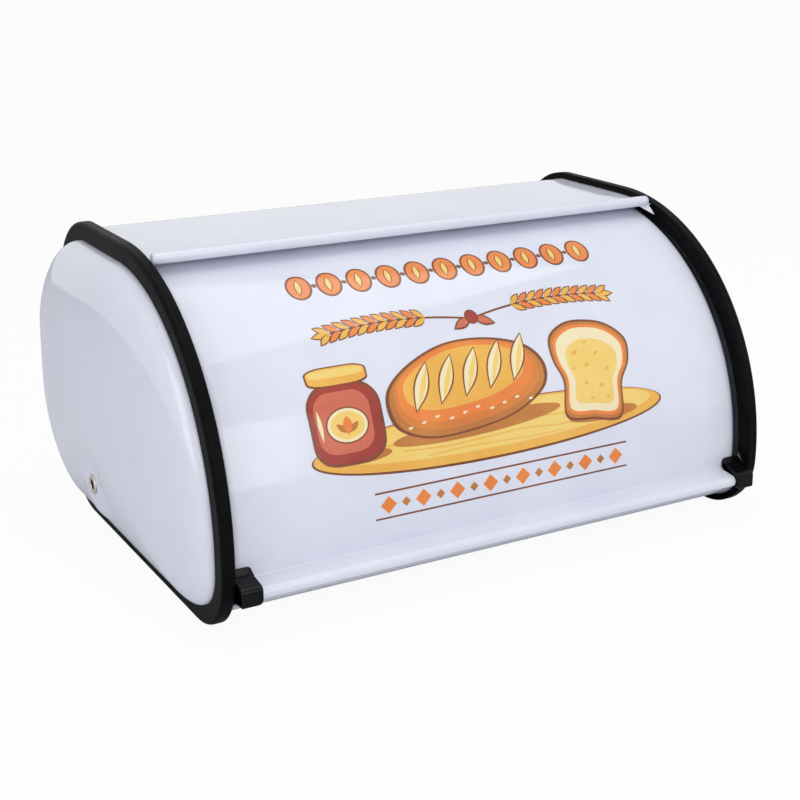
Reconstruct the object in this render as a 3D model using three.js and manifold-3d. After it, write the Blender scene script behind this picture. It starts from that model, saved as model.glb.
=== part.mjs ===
// A roll-top bread box in enamelled sheet steel, with two domed end caps,
// black edge trims and a curved lid that turns back under the top panel.
// Millimetres. X runs along the box, Y towards its back and Z up. The origin is
// at the middle of the footprint, on the surface that the box stands on.

import * as THREE from 'three';
import { mergeVertices } from 'three/addons/utils/BufferGeometryUtils.js';
import Module from 'manifold-3d';

const wasm = await Module();
wasm.setup();

// Side outline of the box: the outer edge of the trims, about the lid's pivot
const lidSpan = 332;
const pivotHeight = 41.4;
const crownRadius = 143;
const shoulderShift = 10.8;
const shoulderDrop = 4;
const backReach = 102;
const backTopRadius = 51.5;
const backBottomRadius = 44.5;
const frontBottomRadius = 36.5;

// Sheet steel and the gaps between pieces
const sheet = 0.6;
const gap = 0.3;
const overrun = 2;

// Edge trim: a channel that grips the seam between a panel and an end cap
const trimWidth = 7;
const trimWall = 1;
const trimRoof = 1.2;
const trimOuterLeg = 10.2;
const trimInnerLeg = 4.1;
const trimEase = 0.5;
const trimRounding = 3;
const trimButtPlace = -14;

// Panels
const panelInset = 4.4;
const baseInset = 4.8;
const topBeadRadius = 3.2;
const topBeadSet = 3.3;
const topBeadForward = 41.5;
const topBeadEnd = 3.6;
const topRunForward = 18;
const seamOverlap = 15;
const upstandBend = 6;
const upstandHeight = 12;
const upstandSetback = 6;

// End caps
const domeDepth = 24.6;
const domeCentreBack = 56.8;
const domeCentreHeight = 111.3;
const pivotDepth = 16.6;
const pivotSeatRadius = 6.5;
const domeFacet = 16;

// Lid
const lidInset = 9.8;
const lidSideGap = 0.6;
const lidFlange = 15;
const lidEdgeRadius = 7;
const lipBend = 1.5;
const lipShelf = 9.3;
const lipRoll = 3.3;

// Lid arms, their rivets and the pivots
const armThickness = 1.2;
const armHubRadius = 13;
const armRivetRadius = 1.5;
const armRivetHead = 3;
const armRivetHeadHeight = 1;
const pivotRadius = 3;
const pivotBore = 2;
const pivotHeadRadius = 5.5;
const pivotHeadHeight = 1.1;
const spacerRadius = 6;
const washerRadius = 8;
const washerThickness = 1.2;

// Bumpers on the ends of the lid's lip
const bumperWidth = 11.7;
const bumperWall = 2.2;
const bumperTab = 5;
const bumperTabWall = 1.5;
const bumperHook = 5;
const bumperNose = 2.4;

// Angles, in degrees, and how round the curves are
const lidLowAngle = 4.2;
const lidHighAngle = 78;
const lipTilt = 6;
const lipRollTurn = 235;
const topBeadTurn = 290;
const topBeadClose = 268;
const upstandStart = 48;
const armLowAngle = 2;
const armHighAngle = 48;
const armRivetAngles = [4, 24, 44];
const armRivetNames = ['low', 'middle', 'high'];
const facetSag = 0.22;
const widestFacet = 20;
const roundSides = 20;
const roundingSteps = 4;
const domeShares = [1, 0.98, 0.93, 0.85, 0.74, 0.6, 0.42, 0.22];
const domeFullShare = 2;
const domeRimShare = 0.5;
const domeRoundShare = 0.1;
const rivetCrownShare = 0.7;
const pivotCrownShare = 0.85;
const pivotMouthShare = 1.3;
const bumperNoseShare = 0.3;
const bumperFootShare = 0.6;
const nearShare = 0.01;
const closeShare = 1 / 3;

// Sizes that follow from them
const height = pivotHeight + crownRadius - shoulderDrop;
const trimInner = lidSpan / 2;
const trimOuter = trimInner + trimWidth;
const slotInner = trimInner + trimWall;
const panelEdge = slotInner + sheet;
const capFlange = panelEdge + sheet;
const flangeTip = trimRoof + gap;
const lidRadius = crownRadius - lidInset;
const lidEdge = trimInner - lidSideGap;
const armOuter = lidEdge - sheet;
const armInner = armOuter - armThickness;
const seatFace = trimOuter + pivotDepth;
const closeGap = gap * closeShare;
const lowFlange = 2 * sheet;
const lowestFlange = sheet + closeGap;
const lipFlange = 3 * sheet;
const degree = Math.PI / 180;

const enamel = new THREE.MeshStandardMaterial({ color: 0xe9ecf6, roughness: 0.25, metalness: 0 });
const rubber = new THREE.MeshStandardMaterial({ color: 0x1a1b1d, roughness: 0.55, metalness: 0 });
const nickel = new THREE.MeshStandardMaterial({ color: 0xa79f93, roughness: 0.3, metalness: 1 });
const nylon = new THREE.MeshStandardMaterial({ color: 0xe6e2d8, roughness: 0.5, metalness: 0 });

// A station is a point of a side profile with the direction that a surface faces
// there. The profile's own plane has Y to the right and Z up, from the pivot's Y.
function station(y, z, angle) {
  return { y, z, ny: Math.cos(angle * degree), nz: Math.sin(angle * degree) };
}

function facets(radius, turn) {
  const finest = 2 * Math.acos(1 - Math.min(facetSag / radius, 1)) / degree;
  return Math.max(2, Math.ceil(Math.abs(turn) / Math.min(finest, widestFacet)));
}

// side is 1 where the surface faces away from the centre, and -1 where it faces it
function arc(centre, radius, from, to, side = 1) {
  const steps = facets(radius, to - from);
  return Array.from({ length: steps + 1 }, (_, i) => {
    const angle = from + (to - from) * i / steps;
    const y = centre.y + radius * Math.cos(angle * degree);
    const z = centre.z + radius * Math.sin(angle * degree);
    return station(y, z, side > 0 ? angle : angle + 180);
  });
}

function legOf(long, other) {
  return Math.sqrt(long * long - other * other);
}

const pivot = { y: 0, z: pivotHeight };
const frontCorner = {
  y: -legOf(crownRadius - frontBottomRadius, pivotHeight - frontBottomRadius),
  z: frontBottomRadius,
};
const shoulder = {
  y: -legOf(shoulderShift, shoulderShift - shoulderDrop),
  z: pivotHeight + shoulderShift - shoulderDrop,
};
const shoulderRadius = crownRadius - shoulderShift;
const backTop = { y: backReach - backTopRadius, z: height - backTopRadius };
const backBottom = { y: backReach - backBottomRadius, z: backBottomRadius };
const frontTurn = Math.atan2(frontCorner.z - pivot.z, frontCorner.y) / degree + 360;
const shoulderTurn = Math.atan2(shoulder.z - pivot.z, shoulder.y) / degree;

// Arcs of the side outline, each moved inwards by an inset
const outline = {
  frontCorner: (inset, from = 270) => arc(frontCorner, frontBottomRadius - inset, from, frontTurn),
  front: (inset) => arc(pivot, crownRadius - inset, frontTurn, shoulderTurn),
  shoulder: (inset, from = shoulderTurn) => arc(shoulder, shoulderRadius - inset, from, 90),
  backTop: (inset) => arc(backTop, backTopRadius - inset, 90, 0),
  backBottom: (inset) => arc(backBottom, backBottomRadius - inset, 0, -90),
};

function withoutRepeats(stations) {
  const near = sheet * nearShare;
  return stations.filter((s, i) => {
    const last = stations[i - 1];
    return !last || Math.hypot(s.y - last.y, s.z - last.z) > near;
  });
}

// Stations are added along the straight runs, no further apart than the spacing
function filled(stations, spacing) {
  return stations.flatMap((s, i) => {
    const next = stations[(i + 1) % stations.length];
    const steps = Math.max(1, Math.round(Math.hypot(next.y - s.y, next.z - s.z) / spacing));
    return Array.from({ length: steps }, (_, k) => ({
      y: s.y + (next.y - s.y) * k / steps,
      z: s.z + (next.z - s.z) * k / steps,
      ny: s.ny,
      nz: s.nz,
    }));
  });
}

function outward(geometry) {
  const p = geometry.attributes.position.array;
  const index = geometry.index.array;
  let volume = 0;
  for (let i = 0; i < index.length; i += 3) {
    const [a, b, c] = [0, 1, 2].map((k) => new THREE.Vector3().fromArray(p, index[i + k] * 3));
    volume += a.dot(b.cross(c));
  }
  if (volume < 0) {
    for (let i = 0; i < index.length; i += 3) {
      [index[i], index[i + 1]] = [index[i + 1], index[i]];
    }
  }
  return geometry;
}

function geometryOf(points, triangles) {
  const geometry = new THREE.BufferGeometry();
  geometry.setAttribute('position', new THREE.Float32BufferAttribute(points.flat(), 3));
  geometry.setIndex(triangles.flat());
  return outward(geometry);
}

function bands(ringCount, ringLength) {
  const triangles = [];
  for (let r = 0; r < ringCount - 1; r += 1) {
    for (let i = 0; i < ringLength; i += 1) {
      const a = r * ringLength + i;
      const b = r * ringLength + (i + 1) % ringLength;
      triangles.push([a, b, b + ringLength], [a, b + ringLength, a + ringLength]);
    }
  }
  return triangles;
}

// Triangles of a flat section, wound the way that its points run
function flatEnd(section) {
  const contour = section.map(([x, rise]) => new THREE.Vector2(x, rise));
  const triangles = THREE.ShapeUtils.triangulateShape(contour, []);
  const reversed = triangles.map(([a, b, c]) => [a, c, b]);
  return THREE.ShapeUtils.isClockWise(contour) ? reversed : triangles;
}

// A strip of section [x, rise] points carried along the stations, with flat ends
function sweep(stations, sectionAt) {
  const sections = stations.map((s, i) => sectionAt(s, i));
  const rings = stations.map((s, i) => sections[i].map(
    ([x, rise]) => [x, s.y + s.ny * rise, s.z + s.nz * rise],
  ));
  const count = sections[0].length;
  const triangles = bands(rings.length, count);
  const last = (rings.length - 1) * count;
  flatEnd(sections[0]).forEach(([a, b, c]) => triangles.push([a, c, b]));
  flatEnd(sections.at(-1)).forEach(([a, b, c]) => triangles.push([last + a, last + b, last + c]));
  return geometryOf(rings.flat(), triangles);
}

// Closed loops of [x, y, z] points, drawn in to one point at each end
function mound(loops, firstPoint, lastPoint) {
  const count = loops[0].length;
  const points = [...loops.flat(), firstPoint, lastPoint];
  const triangles = bands(loops.length, count);
  const lastLoop = (loops.length - 1) * count;
  for (let i = 0; i < count; i += 1) {
    const next = (i + 1) % count;
    triangles.push([points.length - 2, next, i]);
    triangles.push([points.length - 1, lastLoop + i, lastLoop + next]);
  }
  return geometryOf(points, triangles);
}

// A round body about the X axis from [radius, x] points, placed on the pivot
function turned(profile, y = pivot.y, z = pivot.z) {
  const points = profile.map(([radius, x]) => new THREE.Vector2(radius, x));
  const geometry = new THREE.LatheGeometry(points, roundSides);
  geometry.rotateZ(-Math.PI / 2);
  geometry.translate(0, y, z);
  return closed(geometry);
}

function tube(outer, inner, from, to) {
  return turned([[inner, from], [outer, from], [outer, to], [inner, to], [inner, from]]);
}

function rod(radius, from, to, y, z) {
  return turned([[0, from], [radius, from], [radius, to], [0, to]], y, z);
}

// A side profile of [y, z] points, as thick as the stretch from one x to another
function plate(profile, from, to) {
  const shape = new THREE.Shape(profile.map(([y, z]) => new THREE.Vector2(y, z)));
  const geometry = new THREE.ExtrudeGeometry(shape, { depth: to - from, bevelEnabled: false });
  const sideways = new THREE.Matrix4().makeBasis(
    new THREE.Vector3(0, 1, 0), new THREE.Vector3(0, 0, 1), new THREE.Vector3(1, 0, 0),
  );
  geometry.applyMatrix4(sideways);
  geometry.translate(from, 0, 0);
  return closed(geometry);
}

function closed(geometry) {
  geometry.deleteAttribute('normal');
  geometry.deleteAttribute('uv');
  return outward(mergeVertices(geometry));
}

function mirrored(geometry) {
  const copy = geometry.clone();
  copy.scale(-1, 1, 1);
  return outward(copy);
}

function solidOf(geometry) {
  return new wasm.Manifold(new wasm.Mesh({
    numProp: 3,
    vertProperties: new Float32Array(geometry.attributes.position.array),
    triVerts: new Uint32Array(geometry.index.array),
  }));
}

function geometryFrom(solid) {
  const mesh = solid.getMesh();
  const geometry = new THREE.BufferGeometry();
  const points = new Float32Array(mesh.vertProperties);
  geometry.setAttribute('position', new THREE.BufferAttribute(points, mesh.numProp));
  geometry.setIndex(new THREE.BufferAttribute(new Uint32Array(mesh.triVerts), 1));
  return geometry;
}

function cut(geometry, tools) {
  const whole = solidOf(geometry);
  return geometryFrom(tools.reduce((solid, tool) => solid.subtract(solidOf(tool)), whole));
}

// Points of a circle as [y, z] pairs
function circlePoints(centre, radius, from, to) {
  return arc(centre, radius, from, to).map((s) => [s.y, s.z]);
}

// A sheet section: flat across, with both edges turned up or down as flanges
function flangedStrip(halfWidth, flange) {
  const inner = halfWidth - sheet;
  return [
    [-halfWidth, flange], [-halfWidth, 0], [halfWidth, 0], [halfWidth, flange],
    [inner, flange], [inner, sheet], [-inner, sheet], [-inner, flange],
  ];
}

// Edge trim: one strip bent round the whole side, its ends butted underneath
function edgeTrim() {
  const cornerX = trimWidth - trimRounding;
  const corner = Array.from({ length: roundingSteps + 1 }, (_, k) => {
    const angle = Math.PI / 2 * k / roundingSteps;
    return [cornerX + trimRounding * Math.sin(angle), trimRounding * (Math.cos(angle) - 1)];
  });
  const section = [
    [0, -trimInnerLeg],
    [0, -trimEase],
    [trimEase, 0],
    ...corner,
    [trimWidth, -trimOuterLeg],
    [capFlange - trimInner, -trimOuterLeg],
    [capFlange - trimInner, -trimRoof],
    [trimWall, -trimRoof],
    [trimWall, -trimInnerLeg],
  ].map(([x, rise]) => [trimInner + x, rise]);
  const stations = withoutRepeats([
    station(trimButtPlace - gap / 2, 0, 270),
    ...outline.frontCorner(0),
    ...outline.front(0),
    ...outline.shoulder(0),
    ...outline.backTop(0),
    ...outline.backBottom(0),
    station(trimButtPlace + gap / 2, 0, 270),
  ]);
  return sweep(stations, () => section);
}

// Stretches of a panel: its stations, how far it reaches sideways and its flanges' height
function stretch(stations, edge, flange) {
  return stations.map((s) => ({ ...s, edge, flange }));
}

function panelFrom(stretches) {
  const stations = withoutRepeats(stretches.flat());
  return sweep(stations, (s) => flangedStrip(s.edge, s.flange));
}

const panelUnder = panelInset + sheet;
const baseUnder = baseInset + sheet;

// Top and back panel: one sheet from the bead over the lid to the seam at the back
function topBackPanel() {
  const bead = { y: -topBeadForward, z: height - topBeadSet };
  const radius = shoulderRadius - panelUnder;
  const runAngle = 90 + Math.asin(topRunForward / radius) / degree;
  const step = gap / radius / degree;
  const [start, ...run] = outline.shoulder(panelUnder, runAngle);
  const [widened] = outline.shoulder(panelUnder, runAngle - step);
  const beadArc = arc(bead, topBeadRadius, 270 - topBeadTurn, topBeadClose, -1);
  const narrow = trimInner - gap;
  const flange = panelUnder - flangeTip;
  return panelFrom([
    stretch(beadArc.slice(0, -1), narrow + gap - topBeadEnd, lowFlange),
    stretch([beadArc.at(-1)], narrow, lowFlange),
    stretch([start], narrow, lowestFlange),
    stretch([widened], panelEdge, lowestFlange),
    stretch(run, panelEdge, flange),
    stretch(outline.backTop(panelUnder), panelEdge, flange),
    stretch([station(backReach - panelUnder, backBottom.z, 0)], panelEdge, flange),
  ]);
}

// Base panel: turned up behind the lid in front and behind the back panel at the rear
function basePanel() {
  const radius = frontBottomRadius - baseUnder;
  const step = gap / radius / degree;
  const [start, ...corner] = arc(frontCorner, radius, 270 - upstandStart, 270);
  const [widened] = arc(frontCorner, radius, 270 - upstandStart + step, 270);
  const bendCentre = {
    y: start.y - start.ny * upstandBend,
    z: start.z - start.nz * upstandBend,
  };
  const bend = arc(bendCentre, upstandBend, 180, 270 - upstandStart);
  const top = station(bend[0].y, bend[0].z + upstandHeight, 180);
  const flange = baseUnder - flangeTip;
  const seam = outline.backBottom(baseUnder).reverse();
  const tongueY = backReach - panelUnder - lowFlange - closeGap;
  const tongue = [0, seamOverlap].map((up) => station(tongueY, backBottom.z + up, 0));
  return panelFrom([
    stretch([top, ...bend], armInner - upstandSetback, lowFlange),
    stretch([widened], panelEdge, lowFlange),
    stretch([...corner, ...seam.slice(0, -2)], panelEdge, flange),
    stretch([seam.at(-2)], panelEdge, lowFlange),
    stretch(tongue, trimInner, lowFlange),
  ]);
}

// The solid inside a domed cap, drawn in by the sheet's thickness where thin is set
function domeVolume(thin, floor) {
  const rim = trimOuterLeg + gap + thin;
  const stations = filled(withoutRepeats([
    ...outline.frontCorner(0), ...outline.front(0), ...outline.shoulder(0),
    ...outline.backTop(0), ...outline.backBottom(0),
  ]), domeFacet);
  const edge = stations.map((s) => [s.y - s.ny * rim, s.z - s.nz * rim]);
  const middle = { y: (backReach - crownRadius) / 2, z: height / 2 };
  const half = { y: (backReach + crownRadius) / 2 - rim, z: height / 2 - rim };
  const oval = edge.map(([y, z]) => {
    const angle = Math.atan2((z - middle.z) / half.z, (y - middle.y) / half.y);
    return [middle.y + half.y * Math.cos(angle), middle.z + half.z * Math.sin(angle)];
  });
  // Each loop keeps the rim's outline near the rim and turns oval towards the crest
  const onDome = (i, share) => {
    const round = domeRoundShare * (1 - share);
    return [domeCentreBack, domeCentreHeight].map((centre, k) => (
      centre + share * (edge[i][k] + (oval[i][k] - edge[i][k]) * round - centre)
    ));
  };
  const depthAt = (share) => domeDepth * (1 - share ** domeFullShare) ** domeRimShare;
  const loop = (x, share) => edge.map((_, i) => [x, ...onDome(i, share)]);
  const loops = [
    loop(floor, 1),
    ...domeShares.map((share) => loop(trimOuter - thin + depthAt(share), share)),
  ];
  const crest = trimOuter - thin + domeDepth;
  return mound(
    loops,
    [floor, domeCentreBack, domeCentreHeight],
    [crest, domeCentreBack, domeCentreHeight],
  );
}

// The dome is pressed flat round the pivot, below its own curve on one side and above on the other
function seated(volume, thin) {
  const face = seatFace - thin;
  const reach = domeDepth / 3;
  const hollow = turned([
    [0, face], [pivotSeatRadius + thin / 2, face],
    [pivotSeatRadius + thin / 2 + reach, face + reach], [0, face + reach],
  ]);
  const rise = turned([
    [0, face - reach], [pivotSeatRadius - thin / 2 + reach, face - reach],
    [pivotSeatRadius - thin / 2, face], [0, face],
  ]);
  return volume.subtract(solidOf(hollow)).add(solidOf(rise));
}

function endCap() {
  const flangeStations = withoutRepeats([
    ...outline.frontCorner(flangeTip), ...outline.front(flangeTip),
    ...outline.shoulder(flangeTip), ...outline.backTop(flangeTip),
    ...outline.backBottom(flangeTip),
  ]);
  const flange = plate(flangeStations.map((s) => [s.y, s.z]), panelEdge, capFlange);
  const outer = seated(solidOf(domeVolume(0, panelEdge)), 0);
  const inner = seated(solidOf(domeVolume(sheet, panelEdge - overrun)), sheet);
  const bore = rod(pivotRadius + gap, panelEdge, seatFace + overrun);
  return geometryFrom(outer.add(solidOf(flange)).subtract(inner).subtract(solidOf(bore)));
}

// Lid profile from the hidden upper edge, down the front and round the lip's roll
const lidArc = arc(pivot, lidRadius, 180 - lidHighAngle, 180 + lidLowAngle);
const lidFoot = lidArc.at(-1);
const bendCentre = { y: lidFoot.y + lidFoot.ny * lipBend, z: lidFoot.z + lidFoot.nz * lipBend };
const shelfAngle = 90 + lipTilt;
const lipBendArc = arc(bendCentre, lipBend, lidLowAngle, shelfAngle - 180, -1).slice(1);
const shelfStart = lipBendArc.at(-1);
const rollCentre = {
  y: shelfStart.y - shelfStart.nz * lipShelf - shelfStart.ny * lipRoll,
  z: shelfStart.z + shelfStart.ny * lipShelf - shelfStart.nz * lipRoll,
};
const rollArc = arc(rollCentre, lipRoll, shelfAngle, shelfAngle + lipRollTurn);
const lipStations = [...lipBendArc, ...rollArc];

function roundedStrip(flange, radius) {
  const drop = radius * (1 - Math.SQRT1_2);
  const half = [
    [lidEdge, -flange], [lidEdge, -radius], [lidEdge - drop, -drop], [lidEdge - radius, 0],
  ];
  const inner = [
    [lidEdge - radius, -sheet],
    [lidEdge - drop - sheet * Math.SQRT1_2, -drop - sheet * Math.SQRT1_2],
    [lidEdge - sheet, -radius], [lidEdge - sheet, -flange],
  ];
  const other = (points) => points.map(([x, rise]) => [-x, rise]).reverse();
  return [...half, ...other(half), ...other(inner), ...inner];
}

function armRivetPlaces() {
  const radius = lidRadius - lidEdgeRadius - (lidFlange - lidEdgeRadius) / 2;
  return armRivetAngles.map((angle) => {
    const [place] = arc(pivot, radius, 180 - angle, 180 - angle - 1);
    return place;
  });
}

function lidPanel() {
  const stations = [...lidArc, ...lipStations];
  const panel = sweep(stations, (_, i) => (
    i < lidArc.length ? roundedStrip(lidFlange, lidEdgeRadius) : roundedStrip(lipFlange, lowFlange)
  ));
  const holes = armRivetPlaces().flatMap(({ y, z }) => {
    const hole = rod(armRivetRadius + gap, armInner - overrun, lidEdge + overrun, y, z);
    return [hole, mirrored(hole)];
  });
  return cut(panel, holes);
}

// Lid arm: a flat fan from the pivot out to the lid's side flange
function lidArm() {
  const reach = lidRadius - lidEdgeRadius - gap;
  const low = 180 + armLowAngle;
  const high = 180 - armHighAngle;
  const profile = [
    ...circlePoints(pivot, reach, high, low),
    ...circlePoints(pivot, armHubRadius, low + 90, high + 270),
  ];
  const arm = plate(profile, armInner, armOuter);
  const holes = [rod(pivotRadius + gap, armInner - overrun, armOuter + overrun)];
  armRivetPlaces().forEach(({ y, z }) => {
    holes.push(rod(armRivetRadius + gap, armInner - overrun, armOuter + overrun, y, z));
  });
  return cut(arm, holes);
}

function armRivet({ y, z }) {
  const inside = armInner - closeGap;
  const outside = lidEdge + closeGap;
  return turned([
    [0, inside - armRivetHeadHeight],
    [armRivetHead * rivetCrownShare, inside - armRivetHeadHeight],
    [armRivetHead, inside],
    [armRivetRadius, inside],
    [armRivetRadius, outside],
    [armRivetHead, outside],
    [armRivetHead * rivetCrownShare, outside + armRivetHeadHeight],
    [0, outside + armRivetHeadHeight],
  ], y, z);
}

// Pivot: a long tubular rivet through the dome, a spacer, the arm and a washer
function pivotRivet() {
  const outerHead = seatFace + closeGap;
  const innerHead = armInner - 2 * gap - washerThickness;
  return turned([
    [pivotBore, innerHead - pivotHeadHeight],
    [pivotHeadRadius, innerHead - pivotHeadHeight],
    [pivotHeadRadius, innerHead],
    [pivotRadius, innerHead],
    [pivotRadius, outerHead],
    [pivotHeadRadius, outerHead],
    [pivotHeadRadius * pivotCrownShare, outerHead + pivotHeadHeight],
    [pivotBore * pivotMouthShare, outerHead + pivotHeadHeight],
    [pivotBore, outerHead],
    [pivotBore, innerHead - pivotHeadHeight],
  ]);
}

// Bumper: a clip pushed over the end of the lip, with a tab up the lid's face
function lidBumper() {
  const outerRoll = lipRoll + bumperWall;
  const face = lidRadius + gap;
  const tabTop = lidFoot.z + bumperTab;
  const onLid = (radius, z) => [-legOf(radius, z - pivot.z), z];
  const shelfTop = shelfStart.z + shelfStart.nz * bumperWall;
  const shelfUnder = shelfStart.z + shelfStart.nz * gap;
  const front = rollCentre.y - outerRoll;
  const top = rollCentre.z + outerRoll;
  const under = rollCentre.z - lipRoll;
  const foot = under - bumperWall * bumperFootShare;
  const eased = bumperNose * bumperNoseShare;
  const profile = [
    onLid(face, tabTop),
    onLid(face + bumperTabWall, tabTop),
    onLid(face + bumperTabWall + gap, shelfTop + bumperNose / 2),
    [front + bumperNose, top],
    [front + eased, top - eased],
    [front, top - bumperNose],
    [front, under],
    [rollCentre.y - lipRoll, foot],
    [rollCentre.y + bumperHook, foot],
    [rollCentre.y + bumperHook, under - gap],
    ...circlePoints(rollCentre, lipRoll + gap, 270, shelfAngle),
    [onLid(face, shelfUnder)[0] - lipBend, shelfUnder],
    onLid(face, shelfUnder + lipBend),
  ];
  return plate(profile, lidEdge - bumperWidth, lidEdge);
}

// Assembly
const box = new THREE.Group();
box.name = 'bread_box';

function add(name, geometry, material) {
  const mesh = new THREE.Mesh(geometry, material);
  mesh.name = name;
  box.add(mesh);
}

function addPair(name, geometry, material) {
  add(`${name}_right`, geometry, material);
  add(`${name}_left`, mirrored(geometry), material);
}

const frontReach = lipRoll + bumperWall - rollCentre.y;

addPair('end_cap', endCap(), enamel);
addPair('edge_trim', edgeTrim(), rubber);
add('top_back_panel', topBackPanel(), enamel);
add('base_panel', basePanel(), enamel);
add('lid_panel', lidPanel(), enamel);
addPair('lid_arm', lidArm(), enamel);
armRivetPlaces().forEach((place, i) => {
  addPair(`arm_rivet_${armRivetNames[i]}`, armRivet(place), nickel);
});
addPair('lid_bumper', lidBumper(), rubber);
addPair('pivot_rivet', pivotRivet(), nickel);
addPair('pivot_spacer', tube(
  spacerRadius, pivotRadius + gap, armOuter + gap, seatFace - sheet - gap,
), nylon);
addPair('pivot_washer', tube(
  washerRadius, pivotRadius + gap, armInner - gap - washerThickness, armInner - gap,
), nickel);

box.position.y = (frontReach - backReach) / 2;

export default box;
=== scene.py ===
# %% [markdown]
# # A roll-top bread box
# The real object is a box of white enamelled sheet steel. A curved lid turns back under the top
# panel about two rivets, and black edging covers the seams at both ends. This lesson dresses the
# imported CAD model: every piece is built where its CAD node is, only finer and with a real finish.
# The first cell loads that model and keeps its size.

# %% Load the imported model
import math

import bmesh
import bpy
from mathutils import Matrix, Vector


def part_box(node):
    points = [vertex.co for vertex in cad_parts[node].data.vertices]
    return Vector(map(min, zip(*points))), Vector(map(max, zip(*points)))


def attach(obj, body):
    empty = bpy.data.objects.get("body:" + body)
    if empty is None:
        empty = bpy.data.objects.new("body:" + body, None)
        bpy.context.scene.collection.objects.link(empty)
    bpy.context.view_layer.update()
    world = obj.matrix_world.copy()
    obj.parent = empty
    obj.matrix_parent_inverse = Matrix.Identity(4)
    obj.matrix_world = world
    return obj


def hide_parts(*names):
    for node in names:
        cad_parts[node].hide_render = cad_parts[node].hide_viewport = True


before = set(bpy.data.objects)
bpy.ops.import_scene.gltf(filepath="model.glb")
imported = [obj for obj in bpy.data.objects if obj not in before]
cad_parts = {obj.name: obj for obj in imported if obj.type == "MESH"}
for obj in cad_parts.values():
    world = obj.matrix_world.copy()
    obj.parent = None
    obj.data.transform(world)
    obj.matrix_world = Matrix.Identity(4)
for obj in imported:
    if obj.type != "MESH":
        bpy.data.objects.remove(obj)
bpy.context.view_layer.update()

# %% [markdown]
# ## The camera
# The photograph was taken from the front left, a little above the box. The numbers come from
# fitting a camera to the straight and round edges in it. The lens is a long one, so the box looks
# calm, and the shift moves the frame down as the photograph's crop does.

# %% Make the camera
LENS, SENSOR, FRAME_SHIFT = 67.85, 36, -0.125
CAMERA_PLACE = (-0.43284, -0.75323, 0.3568)
LOOK_RIGHT, LOOK_DOWN = math.radians(29.582), math.radians(14.671)

camera_data = bpy.data.cameras.new("studio_camera")
camera_data.lens = LENS
camera_data.sensor_width = SENSOR
camera_data.shift_y = FRAME_SHIFT
camera = bpy.data.objects.new("studio_camera", camera_data)
camera.location = CAMERA_PLACE
camera.rotation_euler = (math.pi / 2 - LOOK_DOWN, 0, -LOOK_RIGHT)
bpy.context.scene.collection.objects.link(camera)
bpy.context.scene.camera = camera
print("camera at", tuple(camera.location))

# %% [markdown]
# ## The studio
# Glossy enamel shows what stands round it, so the lights are large soft boxes. Each makes a calm
# patch with a straight border on the domed ends, as in a product photograph. The world gives the
# plain level. The camera and shiny surfaces see the world as plain white, and the camera sees the
# floor nearly so, with the soft shadow of the box on it. Mixing by Light Path does this without
# any extra light on the object.

# %% Helpers for sums and choices in a node tree
def maths(tree, operation, first, second):
    """One Math node. Each of its inputs is a number or another node's output."""
    worker = tree.nodes.new("ShaderNodeMath")
    worker.operation = operation
    for socket, value in zip(worker.inputs, (first, second)):
        if isinstance(value, (int, float)):
            socket.default_value = value
        else:
            tree.links.new(value, socket)
    return worker.outputs[0]


def choose(tree, share, real, seen, end):
    """Mix two shaders by a share, and send the mix to the end node."""
    choice = tree.nodes.new("ShaderNodeMixShader")
    for source, socket in zip((share, real.outputs[0], seen.outputs[0]), choice.inputs):
        tree.links.new(source, socket)
    tree.links.new(choice.outputs[0], end.inputs["Surface"])


# %% Light the studio
WORLD_LEVEL = 0.355
WORLD_TINT = (0.93, 0.96, 1.0)
# Each row has a name, a place, a target, a width, a height and a power in watts.
SOFT_BOXES = [
    ("front_soft_box", (-0.15, -1.7, 0.75), (0, 0, 0.09), 1.7, 1.0, 9.8),
    ("top_soft_box", (0.1, -0.1, 1.5), (0, 0, 0.1), 1.5, 1.1, 8.4),
    ("left_soft_box", (-1.5, -0.35, 0.75), (-0.1, 0, 0.1), 0.7, 1.1, 5.3),
    ("right_soft_box", (1.7, -0.8, 0.7), (0.1, 0, 0.1), 0.7, 1.0, 4),
]

bpy.context.scene.view_settings.view_transform = "Standard"
world = bpy.data.worlds.new("studio_world")
world.use_nodes = True
bpy.context.scene.world = world
world_tree = world.node_tree
world_light = world_tree.nodes["Background"]
world_light.inputs["Color"].default_value = (*WORLD_TINT, 1)
world_light.inputs["Strength"].default_value = WORLD_LEVEL
seen_world = world_tree.nodes.new("ShaderNodeBackground")
seen_world.inputs["Color"].default_value = (1, 1, 1, 1)
path = world_tree.nodes.new("ShaderNodeLightPath")
seen_or_through = maths(
    world_tree, "MAXIMUM", path.outputs["Is Camera Ray"], path.outputs["Is Transmission Ray"]
)
shows_white = maths(world_tree, "MAXIMUM", seen_or_through, path.outputs["Is Glossy Ray"])
choose(world_tree, shows_white, world_light, seen_world, world_tree.nodes["World Output"])


def soft_box(name, place, target, width, height, watts):
    """A rectangular lamp that faces the target."""
    lamp = bpy.data.lights.new(name, "AREA")
    lamp.shape = "RECTANGLE"
    lamp.size = width
    lamp.size_y = height
    lamp.energy = watts
    holder = bpy.data.objects.new(name, lamp)
    holder.location = place
    holder.rotation_euler = (Vector(target) - Vector(place)).to_track_quat("-Z", "Y").to_euler()
    bpy.context.scene.collection.objects.link(holder)


for lamp_values in SOFT_BOXES:
    soft_box(*lamp_values)
print("soft boxes:", [values[0] for values in SOFT_BOXES])

# %% [markdown]
# ## The floor
# A wide pale plane stands for the paper sweep. A camera ray sees mostly plain white, with a small
# share of the real paper left in it, and that share carries the soft contact shadow.

# %% Lay the floor
FLOOR_HALF = 6.0
PAPER_COLOUR, PAPER_ROUGHNESS, PAPER_SPECULAR = (0.86, 0.87, 0.89, 1), 0.9, 0.1
PAPER_SEEN_WHITE = 0.94

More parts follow.
